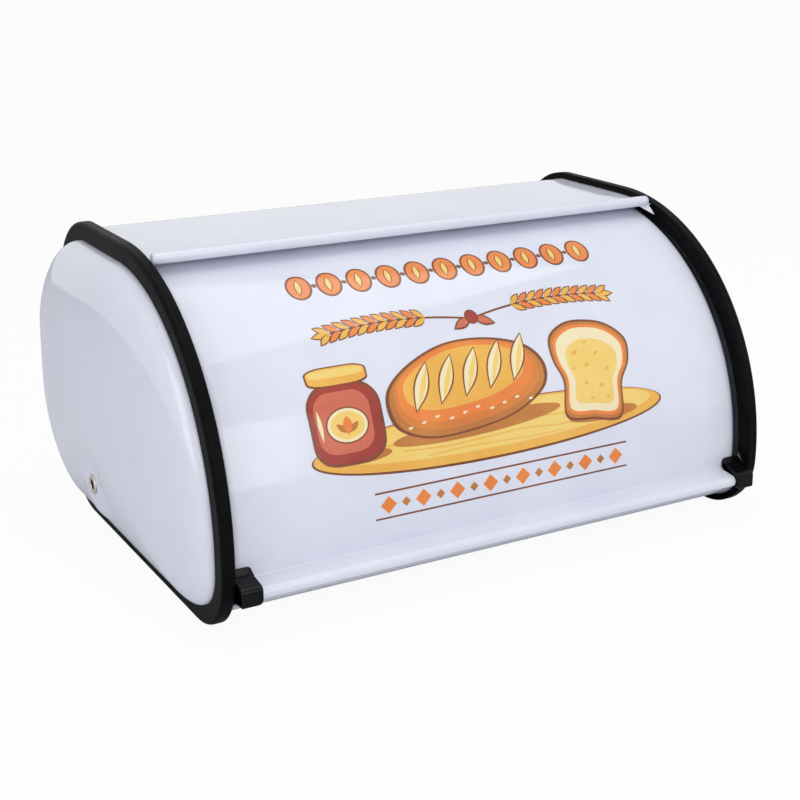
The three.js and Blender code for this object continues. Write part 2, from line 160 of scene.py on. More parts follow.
floor_mesh = bpy.data.meshes.new("paper_sweep")
floor_corners = [(-1, -1), (1, -1), (1, 1), (-1, 1)]
floor_mesh.from_pydata([(x * FLOOR_HALF, y * FLOOR_HALF, 0) for x, y in floor_corners], [], [range(4)])
floor = bpy.data.objects.new("paper_sweep", floor_mesh)
bpy.context.scene.collection.objects.link(floor)

paper = bpy.data.materials.new("white_paper")
paper.use_nodes = True
paper_tree = paper.node_tree
paper_sheet = paper_tree.nodes["Principled BSDF"]
paper_sheet.inputs["Base Color"].default_value = PAPER_COLOUR
paper_sheet.inputs["Roughness"].default_value = PAPER_ROUGHNESS
paper_sheet.inputs["Specular IOR Level"].default_value = PAPER_SPECULAR
paper_white = paper_tree.nodes.new("ShaderNodeEmission")
paper_white.inputs["Color"].default_value = (1, 1, 1, 1)
paper_path = paper_tree.nodes.new("ShaderNodeLightPath")
paper_share = maths(paper_tree, "MULTIPLY", paper_path.outputs["Is Camera Ray"], PAPER_SEEN_WHITE)
choose(paper_tree, paper_share, paper_sheet, paper_white, paper_tree.nodes["Material Output"])
floor_mesh.materials.append(paper)
print("floor of", 2 * FLOOR_HALF, "m")

# %% [markdown]
# ## Shared effects
# Three effects come back in every finish, so each is a node group that is built once: a fine
# grain for colour and bump, wear along edges, and handling marks with a little settled dust. A
# group takes the surface position and puts out only masks and heights. The shader stays in the
# material, where its own values are easy to see.

# %% Helpers for node groups
def new_group(name, inputs, outputs):
    """An empty shader group with named sockets, and its two end nodes."""
    tree = bpy.data.node_groups.new(name, "ShaderNodeTree")
    for label, kind, value in inputs:
        socket = tree.interface.new_socket(label, in_out="INPUT", socket_type=kind)
        if value is not None:
            socket.default_value = value
    for label in outputs:
        tree.interface.new_socket(label, in_out="OUTPUT", socket_type="NodeSocketFloat")
    print("group:", name)
    return tree, tree.nodes.new("NodeGroupInput"), tree.nodes.new("NodeGroupOutput")


def noise(tree, vector, size, detail=2.0, roughness=0.5):
    """A noise texture whose size is a number or another node's output."""
    texture = tree.nodes.new("ShaderNodeTexNoise")
    texture.inputs["Detail"].default_value = detail
    texture.inputs["Roughness"].default_value = roughness
    tree.links.new(vector, texture.inputs["Vector"])
    if isinstance(size, (int, float)):
        texture.inputs["Scale"].default_value = size
    else:
        tree.links.new(size, texture.inputs["Scale"])
    return texture.outputs["Fac"]


def between(tree, value, low, high, new_low=0.0, new_high=1.0):
    """A Map Range node that is smooth at both ends."""
    worker = tree.nodes.new("ShaderNodeMapRange")
    worker.interpolation_type = "SMOOTHSTEP"
    tree.links.new(value, worker.inputs["Value"])
    for label, number in (("From Min", low), ("From Max", high), ("To Min", new_low), ("To Max", new_high)):
        worker.inputs[label].default_value = number
    return worker.outputs["Result"]


# %% The grain group
PATCH_SHARE, TONE_RANGE = 0.06, (0.3, 0.7)

grain_tree, grain_in, grain_out = new_group(
    "surface_grain",
    [("Position", "NodeSocketVector", None), ("Size", "NodeSocketFloat", 500.0)],
    ["Height", "Tone"],
)
fine = noise(grain_tree, grain_in.outputs["Position"], grain_in.outputs["Size"], detail=3.0)
patch_size = maths(grain_tree, "MULTIPLY", grain_in.outputs["Size"], PATCH_SHARE)
patches = noise(grain_tree, grain_in.outputs["Position"], patch_size, detail=4.0, roughness=0.6)
grain_tree.links.new(fine, grain_out.inputs["Height"])
grain_tree.links.new(between(grain_tree, patches, *TONE_RANGE), grain_out.inputs["Tone"])

# %% The edge wear group
RUB_SIZE, EDGE_RANGE, RUB_RANGE = 160.0, (0.53, 0.62), (0.45, 0.62)

wear_tree, wear_in, wear_out = new_group(
    "edge_wear",
    [("Position", "NodeSocketVector", None), ("Pointiness", "NodeSocketFloat", 0.5),
     ("Amount", "NodeSocketFloat", 0.5)],
    ["Mask"],
)
edges = between(wear_tree, wear_in.outputs["Pointiness"], *EDGE_RANGE)
rub_noise = noise(wear_tree, wear_in.outputs["Position"], RUB_SIZE, detail=5.0, roughness=0.65)
worn_edges = maths(wear_tree, "MULTIPLY", edges, between(wear_tree, rub_noise, *RUB_RANGE))
wear_mask = maths(wear_tree, "MULTIPLY", worn_edges, wear_in.outputs["Amount"])
wear_tree.links.new(wear_mask, wear_out.inputs["Mask"])

# %% The handling marks group
SMEAR_SIZE, SMEAR_RANGE = 14.0, (0.38, 0.68)
SPECK_SIZE, SPECK_RANGE, LYING_RANGE = 900.0, (0.5, 0.72), (0.35, 0.98)

marks_tree, marks_in, marks_out = new_group(
    "handling_marks",
    [("Position", "NodeSocketVector", None), ("Normal", "NodeSocketVector", None)],
    ["Marks", "Dust"],
)
smears = noise(marks_tree, marks_in.outputs["Position"], SMEAR_SIZE, detail=5.0, roughness=0.62)
marks_tree.links.new(between(marks_tree, smears, *SMEAR_RANGE), marks_out.inputs["Marks"])
facing = marks_tree.nodes.new("ShaderNodeSeparateXYZ")
marks_tree.links.new(marks_in.outputs["Normal"], facing.inputs[0])
lying = between(marks_tree, facing.outputs["Z"], *LYING_RANGE)
dust_noise = noise(marks_tree, marks_in.outputs["Position"], SPECK_SIZE, detail=4.0, roughness=0.7)
specks = between(marks_tree, dust_noise, *SPECK_RANGE)
marks_tree.links.new(maths(marks_tree, "MULTIPLY", lying, specks), marks_out.inputs["Dust"])

# %% [markdown]
# ## Finishes
# Every finish is one Principled shader fed by the shared groups. The colour moves a little
# between two tones, edges show a worn tone, and marks and dust make the gloss uneven. Values that
# are the same all over, such as the specular level, are set on the shader itself.

# %% Build a finish
DUST_COLOUR = (0.42, 0.41, 0.4, 1)
DUST_ROUGHENS = 0.25


def mixed(tree, factor, first, second):
    """A colour mix. Each colour is a tuple or another mix's output."""
    worker = tree.nodes.new("ShaderNodeMix")
    worker.data_type = "RGBA"
    tree.links.new(factor, worker.inputs["Factor"])
    for socket, value in zip((worker.inputs[6], worker.inputs[7]), (first, second)):
        if isinstance(value, tuple):
            socket.default_value = value
        else:
            tree.links.new(value, socket)
    return worker.outputs[2]


def placed(tree, group, **values):
    """One use of a shared group, with its inputs linked or set."""
    worker = tree.nodes.new("ShaderNodeGroup")
    worker.node_tree = group
    for label, value in values.items():
        if isinstance(value, (int, float)):
            worker.inputs[label].default_value = value
        else:
            tree.links.new(value, worker.inputs[label])
    return worker


def finish(name, tones, worn, gloss, grain, wear=0.3, dust=0.1, **fixed):
    """A material. tones and gloss are (from, to), grain is (size per metre, depth in metres)."""
    material = bpy.data.materials.new(name)
    material.use_nodes = True
    tree = material.node_tree
    shader = tree.nodes["Principled BSDF"]
    where = tree.nodes.new("ShaderNodeTexCoord").outputs["Object"]
    surface = tree.nodes.new("ShaderNodeNewGeometry")
    grained = placed(tree, grain_tree, Position=where, Size=grain[0])
    rubbed_off = placed(
        tree, wear_tree, Position=where, Pointiness=surface.outputs["Pointiness"], Amount=wear
    )
    handled = placed(tree, marks_tree, Position=where, Normal=surface.outputs["Normal"])
    dusty = maths(tree, "MULTIPLY", handled.outputs["Dust"], dust)
    colour = mixed(tree, grained.outputs["Tone"], (*tones[0], 1), (*tones[1], 1))
    colour = mixed(tree, rubbed_off.outputs["Mask"], colour, (*worn, 1))
    colour = mixed(tree, dusty, colour, DUST_COLOUR)
    tree.links.new(colour, shader.inputs["Base Color"])
    rough = between(tree, handled.outputs["Marks"], 0.0, 1.0, *gloss)
    dulled = maths(tree, "MULTIPLY", dusty, DUST_ROUGHENS)
    tree.links.new(maths(tree, "ADD", rough, dulled), shader.inputs["Roughness"])
    bump = tree.nodes.new("ShaderNodeBump")
    bump.inputs["Distance"].default_value = grain[1]
    tree.links.new(grained.outputs["Height"], bump.inputs["Height"])
    tree.links.new(bump.outputs["Normal"], shader.inputs["Normal"])
    for label, value in fixed.items():
        shader.inputs[label.replace("_", " ")].default_value = value
    print("finish:", name)
    return material


# %% [markdown]
# ## Enamel, black plastics, nickel and nylon
# The enamel is a thick glassy white with a blue cast, so its gloss is high and its grain is only
# the faint orange peel of a sprayed and fired coat. The edging is a satin black that scatters
# light, and the bumpers are a shinier moulding. The rivets are nickel plated, warm and bright,
# and their bores hold a near-black finish that is painted shade, so the holes read dark.

# %% Make the finishes
ORANGE_PEEL, BRUSHED_GRAIN = (420.0, 0.000006), (2200.0, 0.00002)
EDGING_GRAIN, MOULDED_GRAIN, NYLON_GRAIN = (2600.0, 0.00003), (1800.0, 0.00002), (1500.0, 0.00002)

enamel = finish(
    "white_enamel", ((0.735, 0.75, 0.855), (0.77, 0.785, 0.88)), (0.4, 0.42, 0.5), (0.045, 0.11),
    ORANGE_PEEL, wear=0.35, dust=0.08,
)
edging = finish(
    "satin_black_edging", ((0.003, 0.003, 0.0035), (0.005, 0.005, 0.0056)), (0.03, 0.03, 0.032),
    (0.38, 0.5), EDGING_GRAIN, dust=0.008, Specular_IOR_Level=0.035,
)
moulding = finish(
    "gloss_black_moulding", ((0.003, 0.003, 0.0035), (0.005, 0.005, 0.0055)), (0.05, 0.05, 0.055),
    (0.12, 0.2), MOULDED_GRAIN, dust=0.008, Specular_IOR_Level=0.13,
)
nickel = finish(
    "nickel_plate", ((0.5, 0.45, 0.4), (0.62, 0.57, 0.51)), (0.3, 0.24, 0.19), (0.16, 0.34),
    BRUSHED_GRAIN, wear=0.5, Metallic=1.0,
)
# Painted shade: the near-black finish of the cup in each rivet's bore stands in for the shadow in the hole.
bore_painted_shade = finish(
    "painted_shade_bore", ((0.006, 0.0055, 0.005), (0.012, 0.011, 0.01)), (0.03, 0.028, 0.025), (0.5, 0.6),
    BRUSHED_GRAIN, wear=0.2, dust=0.0, Specular_IOR_Level=0.1,
)
nylon = finish(
    "natural_nylon", ((0.72, 0.69, 0.62), (0.8, 0.77, 0.7)), (0.6, 0.57, 0.5), (0.42, 0.58),
    NYLON_GRAIN, wear=0.2,
)

# %% [markdown]
# ## Sizes
# These are the sizes of the CAD model in millimetres, in a frame whose Y starts at the pivot.
# The side outline is five arcs: a front corner, the crown about the pivot, a flatter shoulder and
# two back corners. Every panel, edging and cap follows that outline at its own inset.

# %% Give the sizes
MM = 0.001
rivet_low, rivet_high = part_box("pivot_rivet_left")
PIVOT_Y = (rivet_low[1] + rivet_high[1]) / 2
PIVOT_Z = (rivet_low[2] + rivet_high[2]) / 2 / MM

CROWN, SHOULDER_SHIFT, SHOULDER_DROP = 143.0, 10.8, 4.0
BACK_REACH, BACK_TOP, BACK_BOTTOM, FRONT_BOTTOM = 102.0, 51.5, 44.5, 36.5
SHEET, GAP = 0.6, 0.3
TOUCH = GAP / 3
TRIM_INNER, TRIM_WIDTH, TRIM_WALL, TRIM_ROOF = 166.0, 7.0, 1.0, 1.2
TRIM_LEG, TRIM_INNER_LEG = 10.2, 4.1
TRIM_OUTER = TRIM_INNER + TRIM_WIDTH
PANEL_EDGE = TRIM_INNER + TRIM_WALL + SHEET
CAP_FLANGE = PANEL_EDGE + SHEET
LID_RADIUS, LID_EDGE = 133.2, 165.4
HEIGHT = PIVOT_Z + CROWN - SHOULDER_DROP


def leg(long, other):
    """The second leg of a right triangle, from its longest side and its first leg."""
    return math.sqrt(long * long - other * other)


PIVOT = (0.0, PIVOT_Z)
FRONT_CENTRE = (-leg(CROWN - FRONT_BOTTOM, PIVOT_Z - FRONT_BOTTOM), FRONT_BOTTOM)
SHOULDER_RISE = SHOULDER_SHIFT - SHOULDER_DROP
SHOULDER_CENTRE = (-leg(SHOULDER_SHIFT, SHOULDER_RISE), PIVOT_Z + SHOULDER_RISE)
SHOULDER = CROWN - SHOULDER_SHIFT
BACK_TOP_CENTRE = (BACK_REACH - BACK_TOP, HEIGHT - BACK_TOP)
BACK_BOTTOM_CENTRE = (BACK_REACH - BACK_BOTTOM, BACK_BOTTOM)
FRONT_TURN = math.degrees(math.atan2(FRONT_CENTRE[1] - PIVOT_Z, FRONT_CENTRE[0])) + 360
SHOULDER_TURN = math.degrees(math.atan2(SHOULDER_CENTRE[1] - PIVOT_Z, SHOULDER_CENTRE[0]))
print("box height:", round(HEIGHT, 2), "mm, pivot at", round(PIVOT_Z, 2), "mm")

# %% [markdown]
# ## Profiles
# A profile is a row of stations. Each station is a point of the side view with the direction
# that the surface faces there. An arc gives many close stations, so a glossy panel bends without
# facets, and a bent sheet is a section carried along them.

# %% Draw profiles
STEP, TURN_STEP = 1.6, 7.5
SAME_PLACE = 0.01


def station(y, z, angle):
    """A point of the side view, and the direction that the surface faces there in degrees."""
    turn = math.radians(angle)
    return (y, z, math.cos(turn), math.sin(turn))


def arc(centre, radius, start, end, side=1):
    """Stations on an arc in degrees. side is -1 where the surface faces the centre."""
    turn = abs(end - start)
    count = max(2, math.ceil(math.radians(turn) * radius / STEP), math.ceil(turn / TURN_STEP))
    stations = []
    for i in range(count + 1):
        angle = start + (end - start) * i / count
        y = centre[0] + radius * math.cos(math.radians(angle))
        z = centre[1] + radius * math.sin(math.radians(angle))
        stations.append(station(y, z, angle if side > 0 else angle + 180))
    return stations


def distinct(items, place=lambda item: item):
    """The same stations, or items with a station, without any that repeats the one before it."""
    kept = [items[0]]
    for item in items[1:]:
        here, before = place(item), place(kept[-1])
        if math.hypot(here[0] - before[0], here[1] - before[1]) > SAME_PLACE:
            kept.append(item)
    return kept


def filled(stations, spacing):
    """The same closed profile with stations added along its straight runs."""
    result = []
    for here, after in zip(stations, stations[1:] + stations[:1]):
        count = max(1, round(math.hypot(after[0] - here[0], after[1] - here[1]) / spacing))
        for k in range(count):
            y = here[0] + (after[0] - here[0]) * k / count
            z = here[1] + (after[1] - here[1]) * k / count
            result.append((y, z, here[2], here[3]))
    return result


def side_outline(inset):
    """The box's outline from the side, drawn in by an inset, from below the front to the back."""
    return distinct(
        arc(FRONT_CENTRE, FRONT_BOTTOM - inset, 270, FRONT_TURN)
        + arc(PIVOT, CROWN - inset, FRONT_TURN, SHOULDER_TURN)
        + arc(SHOULDER_CENTRE, SHOULDER - inset, SHOULDER_TURN, 90)
        + arc(BACK_TOP_CENTRE, BACK_TOP - inset, 90, 0)
        + arc(BACK_BOTTOM_CENTRE, BACK_BOTTOM - inset, 0, -90)
    )


print("stations round the side:", len(side_outline(0)))

# %% [markdown]
# ## Sections and meshes
# A section is a closed outline across a strip. Its corners are softened with a small curve, as a
# folded sheet or a moulding has them, because a knife edge catches no light. Carried along the
# stations it gives rings of points, and a tube of faces joins each ring to the next.

# %% Shapes from sections
FILLET_STEPS = 4


def softened(corners, steps=FILLET_STEPS):
    """A section from (x, rise, radius) corners, each rounded by its radius."""
    points = []
    for i, (x, rise, radius) in enumerate(corners):
        here = Vector((x, rise))
        if not radius:
            points.append((x, rise))
            continue
        before = (Vector(corners[i - 1][:2]) - here).normalized() * radius
        after = (Vector(corners[(i + 1) % len(corners)][:2]) - here).normalized() * radius
        for k in range(steps + 1):
            t = k / steps
            points.append(tuple(here + before * (1 - t) ** 2 + after * t ** 2))
    return points


def tube(rings, closed=True):
    """Points and faces of a row of rings. A closed tube has a face over each end."""
    count = len(rings[0])
    assert all(len(ring) == count for ring in rings), "rings with unequal corners"
    points = [point for ring in rings for point in ring]
    faces = [
        (r * count + i, r * count + (i + 1) % count, (r + 1) * count + (i + 1) % count, (r + 1) * count + i)
        for r in range(len(rings) - 1) for i in range(count)
    ]
    if closed:
        last = (len(rings) - 1) * count
        faces += [tuple(range(count)), tuple(range(last, last + count))]
    return points, faces


def sweep(stations, section_at):
    """A section carried along the stations, closed at both ends."""
    return tube([
        [(x, s[0] + s[2] * rise, s[1] + s[3] * rise) for x, rise in section_at(i, s)]
        for i, s in enumerate(stations)
    ])


def together(*shapes):
    """Several shapes as one mesh."""
    points, faces = [], []
    for more_points, more_faces in shapes:
        start = len(points)
        points += more_points
        faces += [tuple(start + i for i in face) for face in more_faces]
    return points, faces


def mirrored(shape):
    """The same shape for the box's other end."""
    points, faces = shape
    return [(-x, y, z) for x, y, z in points], faces


# %% [markdown]
# ## Pieces
# A piece is a mesh with its finish, the body that it moves with and the CAD nodes that it stands
# for. It is smooth shaded, and only edges that turn more than a set angle stay crisp. The Weighted
# Normal modifier keeps the flat faces flat beside the small bends.

# %% Make pieces
CRISP = math.radians(38)


def new_mesh(name, points, faces):
    """A mesh in the frame's metres, from points in millimetres about the pivot."""
    mesh = bpy.data.meshes.new(name)
    mesh.from_pydata([(x * MM, y * MM + PIVOT_Y, z * MM) for x, y, z in points], [], faces)
    return mesh


def new_piece(name, mesh, body):
    """A smooth object of a mesh, on its body."""
    mesh.shade_smooth()
    piece = bpy.data.objects.new(name, mesh)
    bpy.context.scene.collection.objects.link(piece)
    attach(piece, body)
    print(name, "has", len(mesh.polygons), "faces")
    return piece


def make(name, shape, finish_used, body, slot, *nodes, weighted=True):
    """One piece of the box: its mesh, finish, body and the CAD nodes that it stands for. Its slot argument
    is not used.
    """
    mesh = new_mesh(name, *shape)
    shaper = bmesh.new()
    shaper.from_mesh(mesh)
    bmesh.ops.recalc_face_normals(shaper, faces=shaper.faces)
    shaper.to_mesh(mesh)
    shaper.free()
    mesh.materials.append(finish_used)
    piece = new_piece(name, mesh, body)
    mesh.set_sharp_from_angle(angle=CRISP)
    if weighted:
        piece.modifiers.new("even_shading", "WEIGHTED_NORMAL").keep_sharp = True
    if nodes:
        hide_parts(*nodes)
    return piece


# %% [markdown]
# ## Edging
# On the real box a black strip is pressed over the seam of panel and end cap. It is a channel:
# a long leg lies on the dome and a short one on the panel. Its back is flat beside the lid, has a
# shallow crease along its middle and rolls over the dome in one large curve. The same section runs
# round the whole side, and its two ends meet underneath. Only beside the lid does the inner leg
# reach further in, to the lid's edge: that longer black leg is painted shade, standing in for the
# shaded wall of the end cap between the lid and the edging.

# %% Make the edging
BUTT_PLACE = -14.0
CREASE_PLACE, CREASE_HALF, CREASE_DEPTH = 3.15, 0.55, 0.22
EDGING_EASE, EDGING_RIM, EDGING_ROLL, EDGING_TIP, EDGING_STEPS = 0.3, 0.6, 2.7, 0.7, 6
GROOVE_END = TRIM_WALL + 2 * SHEET
# The long inner leg beside the lid is painted shade: black where the end cap's wall lies in shadow.
LID_SIDE_SHADE_LEG, OPENING_START, OPENING_END, OPENING_RAMP = 10.0, 99.0, 183.5, 2.5


def edging_section(i, s):
    """The channel across one station. Beside the lid its inner leg reaches down to the lid, a black strip
    that is painted shade on the end cap's wall.
    """
    turn = math.degrees(math.atan2(s[1] - PIVOT_Z, s[0])) % 360
    inside = min(turn - OPENING_START, OPENING_END - turn) / OPENING_RAMP
    inner_leg = TRIM_INNER_LEG + (LID_SIDE_SHADE_LEG - TRIM_INNER_LEG) * min(1, max(0, inside))
    corners = [
        (0, -inner_leg, EDGING_EASE), (0, 0, EDGING_RIM), (CREASE_PLACE - CREASE_HALF, 0, EDGING_EASE),
        (CREASE_PLACE, -CREASE_DEPTH, EDGING_EASE), (CREASE_PLACE + CREASE_HALF, 0, EDGING_EASE),
        (TRIM_WIDTH, 0, EDGING_ROLL), (TRIM_WIDTH, -TRIM_LEG, EDGING_TIP), (GROOVE_END, -TRIM_LEG, 0),
        (GROOVE_END, -TRIM_ROOF, 0), (TRIM_WALL, -TRIM_ROOF, 0), (TRIM_WALL, -inner_leg, EDGING_EASE),
    ]
    return [(TRIM_INNER + x, rise) for x, rise in softened(corners, EDGING_STEPS)]


edging_line = distinct(
    [station(BUTT_PLACE - GAP / 2, 0, 270)] + side_outline(0) + [station(BUTT_PLACE + GAP / 2, 0, 270)]
)
edging_shape = sweep(edging_line, edging_section)
make("right_edging", edging_shape, edging, "box", "black_trim", "edge_trim_right")
make("left_edging", mirrored(edging_shape), edging, "box", "black_trim", "edge_trim_left")

# %% [markdown]
# ## Panels
# The top and back are one sheet. Its front edge is rolled into a bead that stands proud of the
# top, and its sides turn up into the edging. The bend beside the edging is small but real, and it
# gives the thin bright line between black and white. The base is a second sheet, turned up
# behind the lid in front and inside the back panel at the rear. Both are a tray section whose
# width and turned-up sides change from one stretch of the profile to the next.

# %% The tray section
PANEL_INSET, BASE_INSET = 4.4, 4.8
PANEL_UNDER, BASE_UNDER, LOW_FLANGE = PANEL_INSET + SHEET, BASE_INSET + SHEET, 2 * SHEET
FLANGE_TIP = TRIM_ROOF + GAP
PANEL_BEND, BEND_SPARE, WIDE_PARTS = 0.5, 0.05, 14


def across(left, right, rise):
    """Points along a wide flat stretch, always as many, so that all sections match."""
    return [(left + (right - left) * k / WIDE_PARTS, rise) for k in range(1, WIDE_PARTS)]


def tray_section(half, flange):
    """A sheet, flat across, with both edges turned up. A low flange has a smaller bend."""
    bend = min(PANEL_BEND, flange - SHEET - BEND_SPARE)
    inner = half - SHEET
    return (
        softened([(-inner, flange, 0), (-half, flange, 0), (-half, 0, bend + SHEET), (0, 0, 0)])[:-1]
        + across(-half, half, 0)
        + softened([(0, 0, 0), (half, 0, bend + SHEET), (half, flange, 0), (inner, flange, 0)])[1:]
        + softened([(inner, flange, 0), (inner, SHEET, bend), (0, SHEET, 0)])[1:-1]
        + across(inner, -inner, SHEET)
        + softened([(0, SHEET, 0), (-inner, SHEET, bend), (-inner, flange, 0)])[1:-1]
    )


def stretch(stations, half, flange):
    """Stations that share a half width and a flange height."""
    return [(s, half, flange) for s in stations]


def tray(stretches):
    """A panel from its stretches."""
    kept = distinct([item for run in stretches for item in run], lambda item: item[0])
    return sweep([item[0] for item in kept], lambda i, s: tray_section(*kept[i][1:]))


# %% Shape the top and back
BEAD_RADIUS, BEAD_SET, BEAD_FORWARD, BEAD_TURN, BEAD_FOOT, BEAD_END = 3.2, 3.3, 41.5, 290, 268, 3.6
BEAD_END_ROUND, RUN_FORWARD = 1.0, 18.0

bead_centre = (-BEAD_FORWARD, HEIGHT - BEAD_SET)
under_shoulder = SHOULDER - PANEL_UNDER
run_angle = 90 + math.degrees(math.asin(RUN_FORWARD / under_shoulder))
run_step = math.degrees(GAP / under_shoulder)
run = arc(SHOULDER_CENTRE, under_shoulder, run_angle, 90)
widened = arc(SHOULDER_CENTRE, under_shoulder, run_angle - run_step, 90)[:1]
narrow, full_flange = TRIM_INNER - GAP, PANEL_UNDER - FLANGE_TIP
bead_half = TRIM_INNER - BEAD_END
short_half = bead_half - BEAD_END_ROUND
bead_arc = arc(bead_centre, BEAD_RADIUS, 270 - BEAD_TURN, BEAD_FOOT, -1)
lowest_flange = SHEET + TOUCH
panel_shape = tray([
    stretch(bead_arc[:-1], short_half, LOW_FLANGE),
    stretch(bead_arc[-1:], narrow, LOW_FLANGE),
    stretch(run[:1], narrow, lowest_flange),
    stretch(widened, PANEL_EDGE, lowest_flange),
    stretch(run[1:], PANEL_EDGE, full_flange),
    stretch(arc(BACK_TOP_CENTRE, BACK_TOP - PANEL_UNDER, 90, 0), PANEL_EDGE, full_flange),
    stretch([station(BACK_REACH - PANEL_UNDER, BACK_BOTTOM, 0)], PANEL_EDGE, full_flange),
])
print("the bead reaches", round(bead_half, 1), "mm to the right of the middle")

# %% [markdown]
# ## The bead's ends
# In the photograph the bead ends just before the edging at the right and runs up to it at the
# left. So the left end of the sheet's roll is drawn out, and a small rounded cap closes each end.
# The caps are part of the same piece, because they are formed from the same sheet.

# %% Close the bead and make the top
BEAD_SIDES, BEAD_CAP_STEPS, BEAD_CAP_LAP = 36, 6, 0.05


def bead_end(side, half):
    """The rounded end of the bead: a cap of the bead's own radius, closed at its middle."""
    rows = [(BEAD_RADIUS - SHEET, BEAD_END_ROUND + BEAD_CAP_LAP), (BEAD_RADIUS, BEAD_END_ROUND)]
    for k in range(BEAD_CAP_STEPS + 1):
        turn = math.pi / 2 * k / BEAD_CAP_STEPS
        radius = BEAD_RADIUS - BEAD_END_ROUND * (1 - math.cos(turn))
        rows.append((radius, BEAD_END_ROUND * (1 - math.sin(turn))))
    turns = [2 * math.pi * k / BEAD_SIDES for k in range(BEAD_SIDES)]
    return tube([
        [(side * (half - back), bead_centre[0] + radius * math.cos(turn),
          bead_centre[1] + radius * math.sin(turn)) for turn in turns]
        for radius, back in rows
    ])


def bead_to_edging(shape):
    """The same panel with the left end of its bead drawn out to the edging."""
    points, faces = shape
    rolled = (len(bead_arc) - 1) * len(tray_section(short_half, LOW_FLANGE))
    left_end = SHEET - short_half + SAME_PLACE
    drawn = [
        (x - narrow + bead_half, y, z) if i < rolled and x < left_end else (x, y, z)
        for i, (x, y, z) in enumerate(points)
    ]
    return drawn, faces


top_back_shape = together(bead_to_edging(panel_shape), bead_end(1, bead_half), bead_end(-1, narrow))
make("enamelled_top_and_back", top_back_shape, enamel, "box", "white_enamel", "top_back_panel")

# %% Make the base
UPSTAND_START, UPSTAND_BEND, UPSTAND_HEIGHT, UPSTAND_SETBACK, SEAM_OVERLAP = 48, 6.0, 12.0, 6.0, 15.0
ARM_THICKNESS = 1.2
ARM_OUTER = LID_EDGE - SHEET
ARM_INNER = ARM_OUTER - ARM_THICKNESS

under_corner = FRONT_BOTTOM - BASE_UNDER
corner_step = math.degrees(GAP / under_corner)
corner = arc(FRONT_CENTRE, under_corner, 270 - UPSTAND_START, 270)
corner_wide = arc(FRONT_CENTRE, under_corner, 270 - UPSTAND_START + corner_step, 270)[:1]
corner_y, corner_z, out_y, out_z = corner[0]
upstand_centre = (corner_y - out_y * UPSTAND_BEND, corner_z - out_z * UPSTAND_BEND)
upstand_bend = arc(upstand_centre, UPSTAND_BEND, 180, 270 - UPSTAND_START)
upstand_top = station(upstand_bend[0][0], upstand_bend[0][1] + UPSTAND_HEIGHT, 180)
base_flange = BASE_UNDER - FLANGE_TIP
seam = arc(BACK_BOTTOM_CENTRE, BACK_BOTTOM - BASE_UNDER, -90, 0)
tongue_y = BACK_REACH - PANEL_UNDER - LOW_FLANGE - TOUCH
tongue = [station(tongue_y, BACK_BOTTOM + up, 0) for up in (0, SEAM_OVERLAP)]
base_shape = tray([
    stretch([upstand_top] + upstand_bend, ARM_INNER - UPSTAND_SETBACK, LOW_FLANGE),
    stretch(corner_wide, PANEL_EDGE, LOW_FLANGE),
    stretch(corner[1:] + seam[:-2], PANEL_EDGE, base_flange),
    stretch(seam[-2:-1], PANEL_EDGE, LOW_FLANGE),
    stretch(tongue, TRIM_INNER, LOW_FLANGE),
])
make("enamelled_base", base_shape, enamel, "box", "white_enamel", "base_panel")

# %% [markdown]
# ## The bead's gusset
# Where the rolled bead ends at the right, the sheet runs out in a small pointed fold that tucks
# down beside the edging. It is easy to miss, but its white tip shows against the black in the
# photograph. A thin curved triangle is enough, placed from the end of the bead.

# %% Make the gusset
GUSSET_LEFT, GUSSET_RIGHT, GUSSET_TIP = (-5.9, -1.1, -2.9), (-0.1, -2.3, -2.2), (2.9, -5.3, -8.4)
GUSSET_BOW, GUSSET_THICK = Vector((0.25, -0.5, -0.3)), Vector((0.0, 0.35, 0.25))
GUSSET_STEPS, GUSSET_REACH = 6, 0.97


def gusset():
    """A thin pointed fold below the end of the bead."""
    bead_tip = Vector((bead_half, *bead_centre))
    left, right, tip = (bead_tip + Vector(corner) for corner in (GUSSET_LEFT, GUSSET_RIGHT, GUSSET_TIP))
    rings = []
    for k in range(GUSSET_STEPS + 1):
        t = k / GUSSET_STEPS
        bow = GUSSET_BOW * math.sin(math.pi * t)
        front_left, front_right = (start.lerp(tip, t * GUSSET_REACH) + bow for start in (left, right))
        rings.append([
            tuple(point)
            for point in (front_left, front_right, front_right + GUSSET_THICK, front_left + GUSSET_THICK)
        ])
    return tube(rings)


make("right_bead_gusset", gusset(), enamel, "box", "white_enamel")

# %% [markdown]
# ## Domed end caps
# Each end is a deep pressing: a flat flange inside the edging, then a dome that keeps the side
# outline near its rim and turns oval towards its crest. It is pressed flat round the rivet. The
# dome is one sheet of close loops, so its reflections run clean. A Solidify modifier gives it the
# thickness of the steel, and the rivet hole is left open.

# %% Shape the dome
DOME_DEPTH, DOME_BACK, DOME_HIGH = 24.6, 56.8, 111.3
DOME_FULL, DOME_RIM, DOME_ROUND = 2.0, 0.5, 0.1
DOME_LOOPS, DOME_SPACING = 60, 2.2
PIVOT_DEPTH, SEAT_RADIUS, SEAT_BLEND = 17.6, 9.0, 24.0
RIVET_RADIUS = 3.0
SEAT_FACE = TRIM_OUTER + PIVOT_DEPTH
CAP_RIM = TRIM_LEG + GAP
CAP_MIDDLE = ((BACK_REACH - CROWN) / 2, HEIGHT / 2)
CAP_HALF = ((BACK_REACH + CROWN) / 2 - CAP_RIM, HEIGHT / 2 - CAP_RIM)


def seated(out_x, y, z):
    """How far out the dome stands at a point, eased flat round the rivet."""
    away = (math.hypot(y, z - PIVOT_Z) - SEAT_RADIUS) / (SEAT_BLEND - SEAT_RADIUS)
    t = min(1, max(0, away))
    return SEAT_FACE + (out_x - SEAT_FACE) * t * t * (3 - 2 * t)


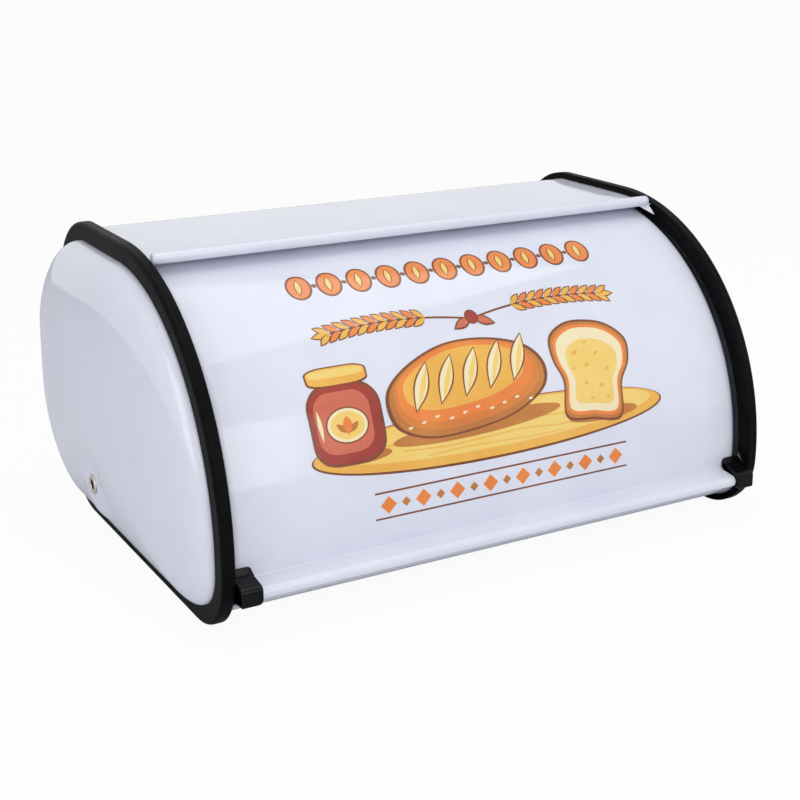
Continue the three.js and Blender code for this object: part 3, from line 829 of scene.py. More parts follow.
def dome_loop(edge, share):
    """One loop of the dome. share is 1 at the rim and 0 at the crest."""
    out_x = TRIM_OUTER + DOME_DEPTH * (1 - share ** DOME_FULL) ** DOME_RIM
    turning = DOME_ROUND * (1 - share)
    loop = []
    for y, z in edge:
        angle = math.atan2((z - CAP_MIDDLE[1]) / CAP_HALF[1], (y - CAP_MIDDLE[0]) / CAP_HALF[0])
        oval_y = CAP_MIDDLE[0] + CAP_HALF[0] * math.cos(angle)
        oval_z = CAP_MIDDLE[1] + CAP_HALF[1] * math.sin(angle)
        across_y = DOME_BACK + share * (y + (oval_y - y) * turning - DOME_BACK)
        up_z = DOME_HIGH + share * (z + (oval_z - z) * turning - DOME_HIGH)
        loop.append((seated(out_x, across_y, up_z), across_y, up_z))
    return loop


def in_rivet_hole(corners):
    """Whether a face of the dome reaches into the hole for the rivet."""
    nearest = min(math.hypot(y, z - PIVOT_Z) for x, y, z in corners)
    return max(x for x, y, z in corners) >= TRIM_OUTER and nearest <= RIVET_RADIUS + GAP


def end_cap():
    """Loops from the flange's tip over the rim to the crest, with the rivet hole left out."""
    outline = filled(side_outline(0)[::2], DOME_SPACING)
    tip, edge = (
        [(y - ny * inset, z - nz * inset) for y, z, ny, nz in outline] for inset in (FLANGE_TIP, CAP_RIM)
    )
    loops = [[(CAP_FLANGE, y, z) for y, z in row] for row in (tip, edge)]
    loops += [dome_loop(edge, math.cos(math.pi / 2 * k / DOME_LOOPS)) for k in range(DOME_LOOPS)]
    points, faces = tube(loops, closed=False)
    count, crest = len(edge), len(points)
    points.append((TRIM_OUTER + DOME_DEPTH, DOME_BACK, DOME_HIGH))
    last = crest - count
    faces += [(last + i, last + (i + 1) % count, crest) for i in range(count)]
    return points, [face for face in faces if not in_rivet_hole([points[i] for i in face])]


# %% Press the caps
def pressed_cap(name, shape, node):
    """The dome's open sheet with its faces turned out, thickened inwards to the real sheet."""
    cap = make(name, shape, enamel, "box", "white_enamel", node, weighted=False)
    shaper = bmesh.new()
    shaper.from_mesh(cap.data)
    loose = [v for v in shaper.verts if not v.link_faces]
    bmesh.ops.delete(shaper, geom=loose, context="VERTS")
    facing_right = sum(f.normal.x * f.calc_area() for f in shaper.faces) > 0
    if facing_right != (shape[0][0][0] > 0):
        bmesh.ops.reverse_faces(shaper, faces=shaper.faces)
    shaper.to_mesh(cap.data)
    shaper.free()
    shell = cap.modifiers.new("sheet_thickness", "SOLIDIFY")
    shell.thickness = SHEET * MM
    shell.offset = -1


cap_shape = end_cap()
pressed_cap("right_domed_cap", cap_shape, "end_cap_right")
pressed_cap("left_domed_cap", mirrored(cap_shape), "end_cap_left")

# %% [markdown]
# ## The lid
# The lid is one sheet bent to a circle about the rivets. Its sides turn in over a soft radius,
# and at the bottom it bends out into a short shelf that ends in a rolled grip lip. The whole
# profile is drawn as one line of stations, so the crease, shelf and roll flow into each other.

# %% Make the lid
LID_LOW, LID_HIGH, LID_FLANGE, LID_SIDE_RADIUS, LID_SIDE_STEPS = 4.2, 78, 15.0, 6.5, 8
LIP_BEND, LIP_SHELF, LIP_ROLL, LIP_TILT, LIP_TURN = 1.5, 9.3, 3.3, 6, 235
LIP_FLANGE, LIP_SIDE_RADIUS = 1.8, 1.2

lid_arc = arc(PIVOT, LID_RADIUS, 180 - LID_HIGH, 180 + LID_LOW)
lid_foot = lid_arc[-1]
bend_centre = (lid_foot[0] + lid_foot[2] * LIP_BEND, lid_foot[1] + lid_foot[3] * LIP_BEND)
shelf_angle = 90 + LIP_TILT
lip_bend = arc(bend_centre, LIP_BEND, LID_LOW, shelf_angle - 180, -1)[1:]
shelf_start = lip_bend[-1]
roll_centre = (
    shelf_start[0] - shelf_start[3] * LIP_SHELF - shelf_start[2] * LIP_ROLL,
    shelf_start[1] + shelf_start[2] * LIP_SHELF - shelf_start[3] * LIP_ROLL,
)
lip_roll = arc(roll_centre, LIP_ROLL, shelf_angle, shelf_angle + LIP_TURN)


def side_bend(radius, reach):
    """A quarter circle from the lid's flank up to its face, at a reach from the bend's centre."""
    turns = [math.pi / 2 * k / LID_SIDE_STEPS for k in range(LID_SIDE_STEPS + 1)]
    return [(LID_EDGE - radius + reach * math.cos(turn), -radius + reach * math.sin(turn)) for turn in turns]


def lid_section(flange, radius):
    """A sheet whose two sides turn in over a radius."""
    right = [(LID_EDGE, -flange)] + side_bend(radius, radius)
    right_inner = side_bend(radius, radius - SHEET)[::-1] + [(LID_EDGE - SHEET, -flange)]
    left, left_inner = ([(-x, rise) for x, rise in reversed(row)] for row in (right, right_inner))
    reach = LID_EDGE - radius
    return (
        right + across(reach, -reach, 0) + left + left_inner + across(-reach, reach, -SHEET) + right_inner
    )


def lid_width(i, s):
    """The lid's section at a station: deep sides on its arc, and low ones round the lip."""
    if i < len(lid_arc):
        return lid_section(LID_FLANGE, LID_SIDE_RADIUS)
    return lid_section(LIP_FLANGE, LIP_SIDE_RADIUS)


lid_shape = sweep(lid_arc + lip_bend + lip_roll, lid_width)
make("curved_lid", lid_shape, enamel, "lid", "white_enamel", "lid_panel")

# %% [markdown]
# ## Turned pieces
# Rivets, spacers and washers are round, so each is a profile turned about the rivet's line. The
# big pivot rivet is tubular: its end is rolled outwards into a ring. A thin near-black cup lies in
# the ring's mouth as painted shade, so the bore reads as a dark hole.

# %% Turn round pieces
SIDES, RING_EASE = 48, 0.15


def turned(profile, y=0.0, z=PIVOT_Z):
    """A ring of (radius, x) points turned about a line along X. A radius of zero closes it."""
    points, rows = [], []
    for radius, x in profile:
        if radius == 0:
            rows.append([len(points)] * SIDES)
            points.append((x, y, z))
            continue
        rows.append(list(range(len(points), len(points) + SIDES)))
        for k in range(SIDES):
            turn = 2 * math.pi * k / SIDES
            points.append((x, y + radius * math.cos(turn), z + radius * math.sin(turn)))
    faces = []
    closes = profile[0][0] != 0
    pairs = list(zip(rows, rows[1:])) + ([(rows[-1], rows[0])] if closes else [])
    for low, high in pairs:
        for k in range(SIDES):
            after = (k + 1) % SIDES
            corners = [low[k], low[after], high[after], high[k]]
            faces.append(tuple(dict.fromkeys(corners)))
    return points, faces


def ring(outer, inner, start, end):
    """A washer or a tube with a small chamfer on its outer rims."""
    return turned([
        (inner, start), (outer - RING_EASE, start), (outer, start + RING_EASE),
        (outer, end - RING_EASE), (outer - RING_EASE, end), (inner, end),
    ])


def pair(name, shape, finish_used, body, slot, node):
    """The right and the left piece of a pair, each in place of its own CAD node."""
    make(f"{name}_right", shape, finish_used, body, slot, f"{node}_right")
    make(f"{name}_left", mirrored(shape), finish_used, body, slot, f"{node}_left")


# %% Make the pivot rivets
BORE, BORE_LIP, BORE_DEPTH, HEAD, HEAD_HEIGHT, HEAD_RIM = 2.0, 0.9, 3.0, 5.5, 1.1, 0.3
INNER_HEAD_SHARES = [(BORE, 0.5), (3.4, 1.0), (4.6, 0.9)]
MOUTH, MOUTH_RISE, MOUTH_STEPS = 3.0, 0.9, 12
WASHER_THICKNESS = 1.2


def rolled_ring(inner, outer, face, rise):
    """The half round of a rolled rivet end, from its outer foot to the bore."""
    middle, half = (outer + inner) / 2, (outer - inner) / 2
    turns = [math.pi * k / MOUTH_STEPS for k in range(MOUTH_STEPS + 1)]
    return [(middle + half * math.cos(turn), face + rise * math.sin(turn)) for turn in turns]


outer_head = SEAT_FACE + TOUCH
inner_head = ARM_INNER - 2 * GAP - WASHER_THICKNESS
rivet_shape = turned([
    *[(radius, inner_head - HEAD_HEIGHT * share) for radius, share in INNER_HEAD_SHARES],
    (HEAD, inner_head - HEAD_RIM), (HEAD, inner_head), (RIVET_RADIUS, inner_head),
    (RIVET_RADIUS, outer_head), *rolled_ring(MOUTH, HEAD, outer_head, MOUTH_RISE),
    (BORE, outer_head - BORE_LIP), (BORE, outer_head - BORE_DEPTH),
])
pair("tubular_rivet", rivet_shape, nickel, "box", "nickel_rivet", "pivot_rivet")

# %% Darken the bores
# The cup is a dark sheet in the bore, painted shade for the hollow.
CUP, CUP_WALL, CUP_UNDER, CUP_FLOOR, CUP_PROUD = 1.95, 0.25, 2.8, 2.4, 0.2
CUP_MOUTH, CUP_MOUTH_WALL = 3.15, 0.2

bore_shape = turned([
    (0, outer_head - CUP_UNDER), (CUP, outer_head - CUP_UNDER), (CUP, outer_head - BORE_LIP),
    (CUP_MOUTH, outer_head + CUP_PROUD), (CUP_MOUTH - CUP_MOUTH_WALL, outer_head + CUP_PROUD),
    (CUP - CUP_WALL, outer_head - BORE_LIP), (CUP - CUP_WALL, outer_head - CUP_FLOOR),
    (0, outer_head - CUP_FLOOR),
])
make("right_rivet_bore", bore_shape, bore_painted_shade, "box", "nickel_rivet")
make("left_rivet_bore", mirrored(bore_shape), bore_painted_shade, "box", "nickel_rivet")

# %% Make the spacers and washers
WASHER, SPACER = 8.0, 6.0

spacer_shape = ring(SPACER, RIVET_RADIUS + GAP, ARM_OUTER + GAP, SEAT_FACE - SHEET - GAP)
pair("nylon_spacer", spacer_shape, nylon, "box", "nylon_spacer", "pivot_spacer")
washer_start = ARM_INNER - GAP - WASHER_THICKNESS
washer_shape = ring(WASHER, RIVET_RADIUS + GAP, washer_start, ARM_INNER - GAP)
pair("steel_washer", washer_shape, nickel, "box", "nickel_rivet", "pivot_washer")

# %% [markdown]
# ## Lid arms and their rivets
# Inside each end a flat fan of enamelled steel joins the lid to its pivot. It shows only when the
# lid is open, and its CAD shape is right, so the CAD node stays and gets a rounded edge and the
# enamel. The three small rivets that hold each arm have domed heads.

# %% Dress the arms
ARM_EASE, ARM_EASE_STEPS = 0.2 * MM, 2

for side in ("left", "right"):
    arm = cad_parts[f"lid_arm_{side}"]
    arm.data.materials.clear()
    arm.data.materials.append(enamel)
    arm.data.shade_smooth()
    arm.data.set_sharp_from_angle(angle=CRISP)
    eased = arm.modifiers.new("eased_edges", "BEVEL")
    eased.width = ARM_EASE
    eased.segments = ARM_EASE_STEPS
    eased.angle_limit = CRISP
    arm.modifiers.new("even_shading", "WEIGHTED_NORMAL").keep_sharp = True
print("arms dressed")

# %% Make the arm rivets
ARM_RIVET, ARM_HEAD, ARM_HEAD_HEIGHT, ARM_HEAD_STEPS = 1.5, 3.0, 1.0, 6
ARM_RIVET_ANGLES = {"low": 4, "middle": 24, "high": 44}
ARM_RIVET_INSET = 11.0
ARM_RIVET_CIRCLE = LID_RADIUS - ARM_RIVET_INSET


def domed_head(face, out):
    """Half of a domed rivet head, from its rim to its middle."""
    points = []
    for k in range(ARM_HEAD_STEPS):
        turn = math.pi / 2 * k / ARM_HEAD_STEPS
        points.append((ARM_HEAD * math.cos(turn), face + out * ARM_HEAD_HEIGHT * math.sin(turn)))
    return points + [(0, face + out * ARM_HEAD_HEIGHT)]


inside_face, outside_face = ARM_INNER - TOUCH, LID_EDGE + TOUCH
arm_rivet_profile = [
    *domed_head(inside_face, -1)[::-1], (ARM_RIVET, inside_face), (ARM_RIVET, outside_face),
    *domed_head(outside_face, 1),
]
for label, angle in ARM_RIVET_ANGLES.items():
    rivet_y = -ARM_RIVET_CIRCLE * math.cos(math.radians(angle))
    rivet_z = PIVOT_Z + ARM_RIVET_CIRCLE * math.sin(math.radians(angle))
    arm_rivet_shape = turned(arm_rivet_profile, rivet_y, rivet_z)
    pair(f"arm_rivet_head_{label}", arm_rivet_shape, nickel, "lid", "nickel_rivet", f"arm_rivet_{label}")

# %% [markdown]
# ## Bumpers
# A black moulded clip is pushed over each end of the lip. Seen from the side it has a tab up the
# lid, a sloping shelf, a rounded nose, a straight front and a foot that hooks back under the roll.
# The side profile is drawn once and carried along X. Near its ends the profile is drawn in a
# little, which rounds every rim, and at the clip's inner end the corners of tab and foot are
# rounded off.

# %% Draw the bumper's profile
BUMPER_WIDTH, BUMPER_WALL, TAB_HEIGHT, TAB_WALL, TAB_TOP_WALL = 11.7, 2.2, 5.0, 1.5, 0.7
HOOK, NOSE, NOSE_SHARE, FOOT_WALL_SHARE, FOOT_RAISED = 5.0, 2.4, 1.15, 0.6, 0.5
TAB_EASE, SHELF_EASE, TOE_EASE, HEEL_EASE = 0.3, 0.7, 1.1, 0.5


def on_lid(radius, z):
    """The point of the side view at a height, on a circle about the pivot."""
    return (-leg(radius, z - PIVOT_Z), z)


def bumper_profile(tab_cut, foot_cut):
    """The clip's side view, with its tab lowered and its foot raised by the two cuts."""
    outer = LIP_ROLL + BUMPER_WALL
    face = LID_RADIUS + GAP
    tab_top = lid_foot[1] + TAB_HEIGHT - tab_cut
    shelf_top = shelf_start[1] + shelf_start[3] * BUMPER_WALL
    shelf_under = shelf_start[1] + shelf_start[3] * GAP
    foot = roll_centre[1] - LIP_ROLL - BUMPER_WALL * FOOT_WALL_SHARE + FOOT_RAISED + foot_cut
    points = softened([
        (*on_lid(face, tab_top), 0),
        (*on_lid(face + TAB_TOP_WALL, tab_top), TAB_EASE),
        (*on_lid(face + TAB_WALL + 2 * GAP, shelf_top + NOSE / 2), SHELF_EASE),
        (roll_centre[0] - outer, roll_centre[1] + outer, NOSE * NOSE_SHARE),
        (roll_centre[0] - outer, foot, TOE_EASE),
        (roll_centre[0] + HOOK, foot, HEEL_EASE),
        (roll_centre[0] + HOOK, roll_centre[1] - LIP_ROLL - GAP, 0),
    ])
    points += [(s[0], s[1]) for s in arc(roll_centre, LIP_ROLL + GAP, 270, shelf_angle)]
    points.append((on_lid(face, shelf_under)[0] - LIP_BEND, shelf_under))
    points.append(on_lid(face, shelf_under + LIP_BEND))
    return points


def drawn_in(points, inset):
    """A closed profile moved inwards by a small inset."""
    pairs = list(zip(points, points[1:] + points[:1]))
    sign = 1 if sum(here[0] * after[1] - after[0] * here[1] for here, after in pairs) > 0 else -1
    result = []
    for i, here in enumerate(points):
        before, after = points[i - 1], points[(i + 1) % len(points)]
        along = Vector((after[0] - before[0], after[1] - before[1])).normalized()
        result.append((here[0] - sign * along.y * inset, here[1] + sign * along.x * inset))
    return result


# %% Make the bumpers
RIM_ROUND, RIM_STEPS = 0.45, 5
CORNER_ROUND, CORNER_STEPS, TAB_CUT_SHARE = 2.6, (0.7, 1.0, 1.4, 1.9, 2.6, 3.4), 0.7


def bumper():
    """Slices of the profile from the clip's inner end to its outer end."""
    rim = []
    for k in range(RIM_STEPS, -1, -1):
        turn = math.pi / 2 * k / RIM_STEPS
        rim.append((RIM_ROUND * (1 - math.sin(turn)), RIM_ROUND * (1 - math.cos(turn))))
    slices = rim + [(step, 0.0) for step in CORNER_STEPS]
    slices += [(BUMPER_WIDTH - along, inset) for along, inset in reversed(rim)]
    rings = []
    for along, inset in slices:
        short = max(0.0, CORNER_ROUND - along)
        cut = CORNER_ROUND - leg(CORNER_ROUND, short)
        x = LID_EDGE - BUMPER_WIDTH + along
        rings.append([(x, y, z) for y, z in drawn_in(bumper_profile(cut * TAB_CUT_SHARE, cut), inset)])
    return tube(rings)


pair("lip_bumper", bumper(), moulding, "lid", "black_bumper", "lid_bumper")

# %% [markdown]
# ## The lid's print
# The lid has a printed design in orange, yellow and brown, made for this part: a loaf on a board,
# a slice, a jam jar, two ears of wheat and a leaf border. Ink lies on the enamel, so each shape
# is a thin skin on the lid's curve. Shapes are drawn flat, in millimetres along X and along the
# arc, and then bent round the lid.

# %% Bend flat shapes onto the lid
INK_FIRST, INK_LAYER, BEND_PITCH = 0.03, 0.018, 3.0


def bent(shapes):
    """Points and faces of flat outlines, each (outline, ink number, layer), bent round the lid."""
    sheet_mesh = bmesh.new()
    for outline, ink, layer in shapes:
        corners = [sheet_mesh.verts.new((u, v, INK_FIRST + INK_LAYER * layer)) for u, v in outline]
        face = sheet_mesh.faces.new(corners)
        face.material_index = ink
    bmesh.ops.triangulate(sheet_mesh, faces=sheet_mesh.faces[:], ngon_method="EAR_CLIP")
    low = min(v.co.y for v in sheet_mesh.verts)
    high = max(v.co.y for v in sheet_mesh.verts)
    for k in range(1, math.ceil((high - low) / BEND_PITCH)):
        everything = sheet_mesh.verts[:] + sheet_mesh.edges[:] + sheet_mesh.faces[:]
        bmesh.ops.bisect_plane(
            sheet_mesh, geom=everything, plane_co=(0, low + k * BEND_PITCH, 0), plane_no=(0, 1, 0)
        )
    for v in sheet_mesh.verts:
        angle = v.co.y / LID_RADIUS
        radius = LID_RADIUS + v.co.z
        v.co = (v.co.x, -radius * math.cos(angle), PIVOT_Z + radius * math.sin(angle))
    sheet_mesh.verts.index_update()
    points = [tuple(v.co) for v in sheet_mesh.verts]
    faces = [tuple(v.index for v in f.verts) for f in sheet_mesh.faces]
    inks = [f.material_index for f in sheet_mesh.faces]
    sheet_mesh.free()
    return points, faces, inks


# %% Draw flat outlines
def tilted(flat, middle, tilt):
    """Flat points turned by a tilt in degrees and moved to their middle."""
    turn = math.radians(tilt)
    return [
        (middle[0] + u * math.cos(turn) - v * math.sin(turn),
         middle[1] + u * math.sin(turn) + v * math.cos(turn))
        for u, v in flat
    ]


def blob(middle, size, knots, tilt=0.0, scale=1.0, steps=8):
    """A smooth closed outline through knots given as shares of a size."""
    count = len(knots)
    flat = []
    for i in range(count):
        p0, p1, p2, p3 = (Vector(knots[(i + k - 1) % count]) for k in range(4))
        for step in range(steps):
            t = step / steps
            point = 0.5 * (
                2 * p1 + (p2 - p0) * t + (2 * p0 - 5 * p1 + 4 * p2 - p3) * t * t
                + (3 * p1 - p0 - 3 * p2 + p3) * t ** 3
            )
            flat.append((point.x * size[0] * scale, point.y * size[1] * scale))
    return tilted(flat, middle, tilt)


def oval(middle, half_width, half_height, tilt=0.0, count=40):
    """An oval with a count of corners."""
    turns = [2 * math.pi * k / count for k in range(count)]
    return tilted([(half_width * math.cos(t), half_height * math.sin(t)) for t in turns], middle, tilt)


def leaf(foot, length, width, tilt, steps=9):
    """A pointed leaf from its foot along the tilt."""
    sides = [(k / steps, math.sin(math.pi * (k / steps))) for k in range(steps + 1)]
    upper = [(t * length, w * width / 2) for t, w in sides]
    lower = [(t * length, -w * width / 2) for t, w in reversed(sides[1:-1])]
    return tilted(upper + lower, foot, tilt)


def stroke(line, width):
    """A thin band of even width along a line of points."""
    above, below = [], []
    for i, here in enumerate(line):
        before, after = line[max(0, i - 1)], line[min(len(line) - 1, i + 1)]
        along = Vector((after[0] - before[0], after[1] - before[1])).normalized()
        half = width / 2
        above.append((here[0] - along.y * half, here[1] + along.x * half))
        below.append((here[0] + along.y * half, here[1] - along.x * half))
    return above + below[::-1]


# %% [markdown]
# ## Inks
# Each ink is opaque and as glossy as the enamel, since the design is fired or lacquered with it.
# Its colour moves between two near tones, like the soft shading of a transfer print.

# %% Mix the inks
INK_TONES = {
    "orange": ((0.83, 0.21, 0.035), (0.88, 0.27, 0.05)),
    "brown": ((0.19, 0.05, 0.012), (0.24, 0.07, 0.018)),
    "gold": ((0.83, 0.42, 0.06), (0.9, 0.5, 0.09)),
    "yellow": ((0.9, 0.6, 0.14), (0.93, 0.67, 0.2)),
    "cream": ((0.9, 0.76, 0.46), (0.93, 0.81, 0.54)),
    "crust": ((0.5, 0.17, 0.03), (0.6, 0.23, 0.045)),
    "amber": ((0.68, 0.19, 0.03), (0.75, 0.25, 0.045)),
    "berry": ((0.33, 0.03, 0.018), (0.42, 0.05, 0.025)),
    "rose": ((0.6, 0.13, 0.07), (0.68, 0.18, 0.1)),
}
INK_GLOSS, WORN_INK_SHARE = (0.06, 0.13), 0.7
INKS = {}
for ink_name, tones in INK_TONES.items():
    worn_ink = tuple(WORN_INK_SHARE * part for part in tones[0])
    INKS[ink_name] = finish(f"{ink_name}_ink", tones, worn_ink, INK_GLOSS, ORANGE_PEEL, wear=0.1, dust=0.05)
INK_ORDER = list(INKS)

# %% Print on the lid
WELD = 1e-8


def print_on_lid(name, layers, first=0):
    """One printed motif. Each layer is a row of (outline, ink name) shapes that don't overlap."""
    layered = [
        (outline, INK_ORDER.index(ink), first + level)
        for level, shapes in enumerate(layers) for outline, ink in shapes
    ]
    points, faces, inks = bent(layered)
    mesh = new_mesh(name, points, faces)
    for ink in INKS.values():
        mesh.materials.append(ink)
    for polygon, ink in zip(mesh.polygons, inks):
        polygon.material_index = ink
    shaper = bmesh.new()
    shaper.from_mesh(mesh)
    bmesh.ops.remove_doubles(shaper, verts=shaper.verts, dist=WELD)
    wrong = []
    for face in shaper.faces:
        middle = face.calc_center_median()
        if face.normal.dot(middle - Vector((middle.x, PIVOT_Y, PIVOT_Z * MM))) < 0:
            wrong.append(face)
    bmesh.ops.reverse_faces(shaper, faces=wrong)
    shaper.to_mesh(mesh)
    shaper.free()
    new_piece(name, mesh, "lid")


# %% [markdown]
# ## The loaf on its board
# The loaf is the largest motif. A dark outline, a crust, three lighter tones and a row of slashes
# with pale crumb in them make it read as bread from across a room. Shapes that overlap lie on
# layers of their own, and shapes that don't share one, so that the ink stays thin.

# %% Print the board
BOARD_LAYERS, BOARD_CORNERS = 4, 72
# Each ring has a middle, a half width, a half height and an ink.
BOARD_RINGS = [
    ((-3, 40), 113, 15.5, "brown"), ((-3, 40.4), 111.8, 14.5, "gold"), ((-3, 42.2), 105, 11.6, "yellow"),
]
# Each line of the wood's grain has a start, a pitch, a count, a wave, a turn in radians and a width.
OUTER_WOOD = [((-84, 41.5), 27, 7, 1.3, 1.9, 0.8), ((-48, 33.2), 22, 5, 0.8, 1.4, 0.6)]
MIDDLE_WOOD = ((-62, 37.0), 25, 6, 1.1, 2.3, 0.7)


def wood_line(start, pitch, count, wave, turn, width, rise=math.sin):
    """One wavy line of grain in the board."""
    line = [(start[0] + pitch * k, start[1] + wave * rise(turn * k)) for k in range(count)]
    return stroke(line, width), "gold"


upper_line, lower_line = (wood_line(*values) for values in OUTER_WOOD)
print_on_lid("printed_board", [
    *[[(oval(middle, wide, high, 0, BOARD_CORNERS), ink)] for middle, wide, high, ink in BOARD_RINGS],
    [upper_line, wood_line(*MIDDLE_WOOD, math.cos), lower_line],
])

# %% Print the loaf
LOAF_KNOTS = [
    (-1, -0.1), (-0.93, 0.38), (-0.6, 0.76), (-0.1, 0.98), (0.42, 0.86), (0.84, 0.5), (1, 0.0), (0.9, -0.48),
    (0.5, -0.8), (0, -0.88), (-0.55, -0.8), (-0.9, -0.5),
]
LOAF_TILT = 6
# Each tone has a middle, a size, a scale and an ink.
LOAF_TONES = [
    ((-16, 66), (50, 26), 1.04, "brown"), ((-16, 66), (50, 26), 0.995, "crust"),
    ((-16, 67.6), (50, 26), 0.93, "amber"), ((-16.5, 69.4), (47, 23), 0.93, "orange"),
    ((-17, 71.6), (42, 18), 0.93, "gold"),
]
LOAF_SHADE = ((-14, 44.5), 54, 5.5, 2, 48)
SLASH_START, SLASH_PITCH, SLASH_COUNT, SLASH_TILT = (-51, 56.5), (16, 1.9), 5, 64
# Each set of slashes has a shift, a length, a width and an ink.
SLASHES = [((0, 0), 30, 9.4, "brown"), ((0.6, 1.2), 27.6, 7.4, "cream"), ((2.2, 2.4), 24, 3.0, "yellow")]
CRUMB_START, CRUMB_PITCH, CRUMB_SCATTER, CRUMB_COUNT = (-56, 49.2), (8.6, 0.45), 1.3, 10
CRUMB = (1.5, 0.7, 10, 12)

slash_feet = [
    (SLASH_START[0] + SLASH_PITCH[0] * k, SLASH_START[1] + SLASH_PITCH[1] * k) for k in range(SLASH_COUNT)
]
crumbs = [
    (CRUMB_START[0] + CRUMB_PITCH[0] * k, CRUMB_START[1] + CRUMB_SCATTER * (k % 3) + CRUMB_PITCH[1] * k)
    for k in range(CRUMB_COUNT)
]


def toned(knots, tilt, tones):
    """Layers of one outline in several tones, each on top of the one before."""
    return [[(blob(middle, size, knots, tilt, scale), ink)] for middle, size, scale, ink in tones]


print_on_lid("printed_loaf", [
    [(oval(*LOAF_SHADE), "crust")],
    *toned(LOAF_KNOTS, LOAF_TILT, LOAF_TONES),
    *[
        [(leaf((u + shift[0], v + shift[1]), length, width, SLASH_TILT), ink) for u, v in slash_feet]
        for shift, length, width, ink in SLASHES
    ],
    [(oval(crumb, *CRUMB), "cream") for crumb in crumbs],
], BOARD_LAYERS)

# %% [markdown]
# ## The slice and the jam jar
# A cut slice leans at the right of the loaf, and a round jar stands at the left. They carry the
# cream and the red-brown of the palette.

# %% Print the slice
SLICE_KNOTS = [
    (-0.72, -1), (-0.76, -0.3), (-0.98, 0.15), (-0.98, 0.62), (-0.55, 0.94), (0, 1.02), (0.55, 0.94),
    (0.98, 0.62), (0.98, 0.15), (0.76, -0.3), (0.72, -1), (0, -1.04),
]
SLICE_TILT = -9
SLICE_TONES = [
    ((66, 64), (25, 27), 1.05, "brown"), ((66, 64), (25, 27), 1.0, "crust"),
    ((66, 64), (25, 27), 0.94, "orange"), ((66, 64), (25, 27), 0.87, "cream"),
    ((66.5, 62.5), (20, 21.5), 0.84, "yellow"),
]
CRUMB_HOLES = [
    (57, 74, 2.1), (71, 72, 1.5), (63, 66, 1.8), (76, 62, 1.6), (60, 56, 1.5), (70, 53, 1.9), (66, 79, 1.3),
    (54, 65, 1.2), (73, 46, 1.2), (62, 47, 1.4),
]
SLICE_SHADE = ((68, 37.5), 24, 4.0, 0, 40)
HOLE_SHARE, HOLE_TILT, HOLE_CORNERS = 0.62, 20, 14

print_on_lid("printed_slice", [
    [(oval(*SLICE_SHADE), "crust")],
    *toned(SLICE_KNOTS, SLICE_TILT, SLICE_TONES),
    [(oval((u, v), wide, wide * HOLE_SHARE, HOLE_TILT, HOLE_CORNERS), "gold") for u, v, wide in CRUMB_HOLES],
], BOARD_LAYERS)

# %% Print the jar
JAR_KNOTS = [
    (-0.62, 0.98), (-0.98, 0.6), (-1, 0), (-0.96, -0.66), (-0.6, -0.98), (0, -1.03), (0.6, -0.98),
    (0.96, -0.66), (1, 0), (0.98, 0.6), (0.62, 0.98), (0, 1.0),
]
JAR_U, JAR_V = -92, 58
# Each layer has the jar's glass and its lid, as a shift, a size, a scale and an ink.
JAR_LAYERS = [
    [((0, 0), (20, 20), 1.06, "brown"), ((0, 25.5), (18, 5.6), 1.0, "brown")],
    [((0, 0), (20, 20), 1.0, "berry"), ((0, 25.7), (17, 4.7), 1.0, "gold")],
    [((-1.5, 1), (16, 16), 1.0, "rose"), ((0, 27.3), (16, 2.3), 1.0, "yellow")],
]
JAR_SHADE = ((JAR_U + 3, 39.5), 20, 3.6, 0, 36)
# Each ring of the jar's label has a half width, a half height and an ink.
LABEL_RINGS = [(12.4, 9.6, "brown"), (11.6, 8.8, "cream"), (9.9, 7.2, "yellow")]
LABEL_DROP, LABEL_CORNERS = 1, 48
# The shine and the fruit are leaves, each with a shift, a length, a width, a tilt and an ink.
JAR_SHINE = ((-15, -8), 17, 2.4, 93, "cream")
JAR_FRUIT = [((0, -6), 10, 5.6, 90, "orange"), ((-0.6, -5), 8, 3.2, 138, "crust"),
             ((0.6, -5), 8, 3.2, 42, "crust")]


def jar_leaf(shift, length, width, tilt, ink):
    """A leaf placed from the middle of the jar."""
    return leaf((JAR_U + shift[0], JAR_V + shift[1]), length, width, tilt), ink


outer_label, label, label_middle = (
    (oval((JAR_U, JAR_V - LABEL_DROP), wide, high, 0, LABEL_CORNERS), ink) for wide, high, ink in LABEL_RINGS
)
print_on_lid("printed_jam_jar", [
    [(oval(*JAR_SHADE), "crust")],
    *[
        [
            (blob((JAR_U + u, JAR_V + v), size, JAR_KNOTS, 0, scale), ink)
            for (u, v), size, scale, ink in layer
        ]
        for layer in JAR_LAYERS
    ],
    [outer_label, jar_leaf(*JAR_SHINE)],
    [label],
    [label_middle],
    [jar_leaf(*values) for values in JAR_FRUIT],
], BOARD_LAYERS)

# %% [markdown]
# ## Wheat, border and rule
# Two ears of wheat lie like a garland above the bread. A row of leaves runs along the top as a
# border, and a thin rule with lozenges closes the design below.

# %% Print the wheat
EAR_STEPS, FIRST_KERNEL, KERNEL_SPREAD, EAR_LAYERS, STEM_WIDTH = 14, 4, 34, 5, 1.3
KERNEL_LINE, KERNEL_BODY, TIP_LINE, TIP_BODY = (10.4, 4.4), (9.3, 3.1), (12, 4.6), (10.8, 3.3)
EAR_START, EAR_HEADING, EAR_BOW, EAR_LENGTH = 5, 12, -10, 82
TIE, TIE_INNER, TIE_TILTS = (0, 105), 0.8, (205, -25)
BOW_LINE, BOW_BODY, KNOT_LINE, KNOT_BODY, KNOT_CORNERS = (15, 6.4), (12.6, 4.4), (4.2, 4.6), (3.3, 3.7), 28


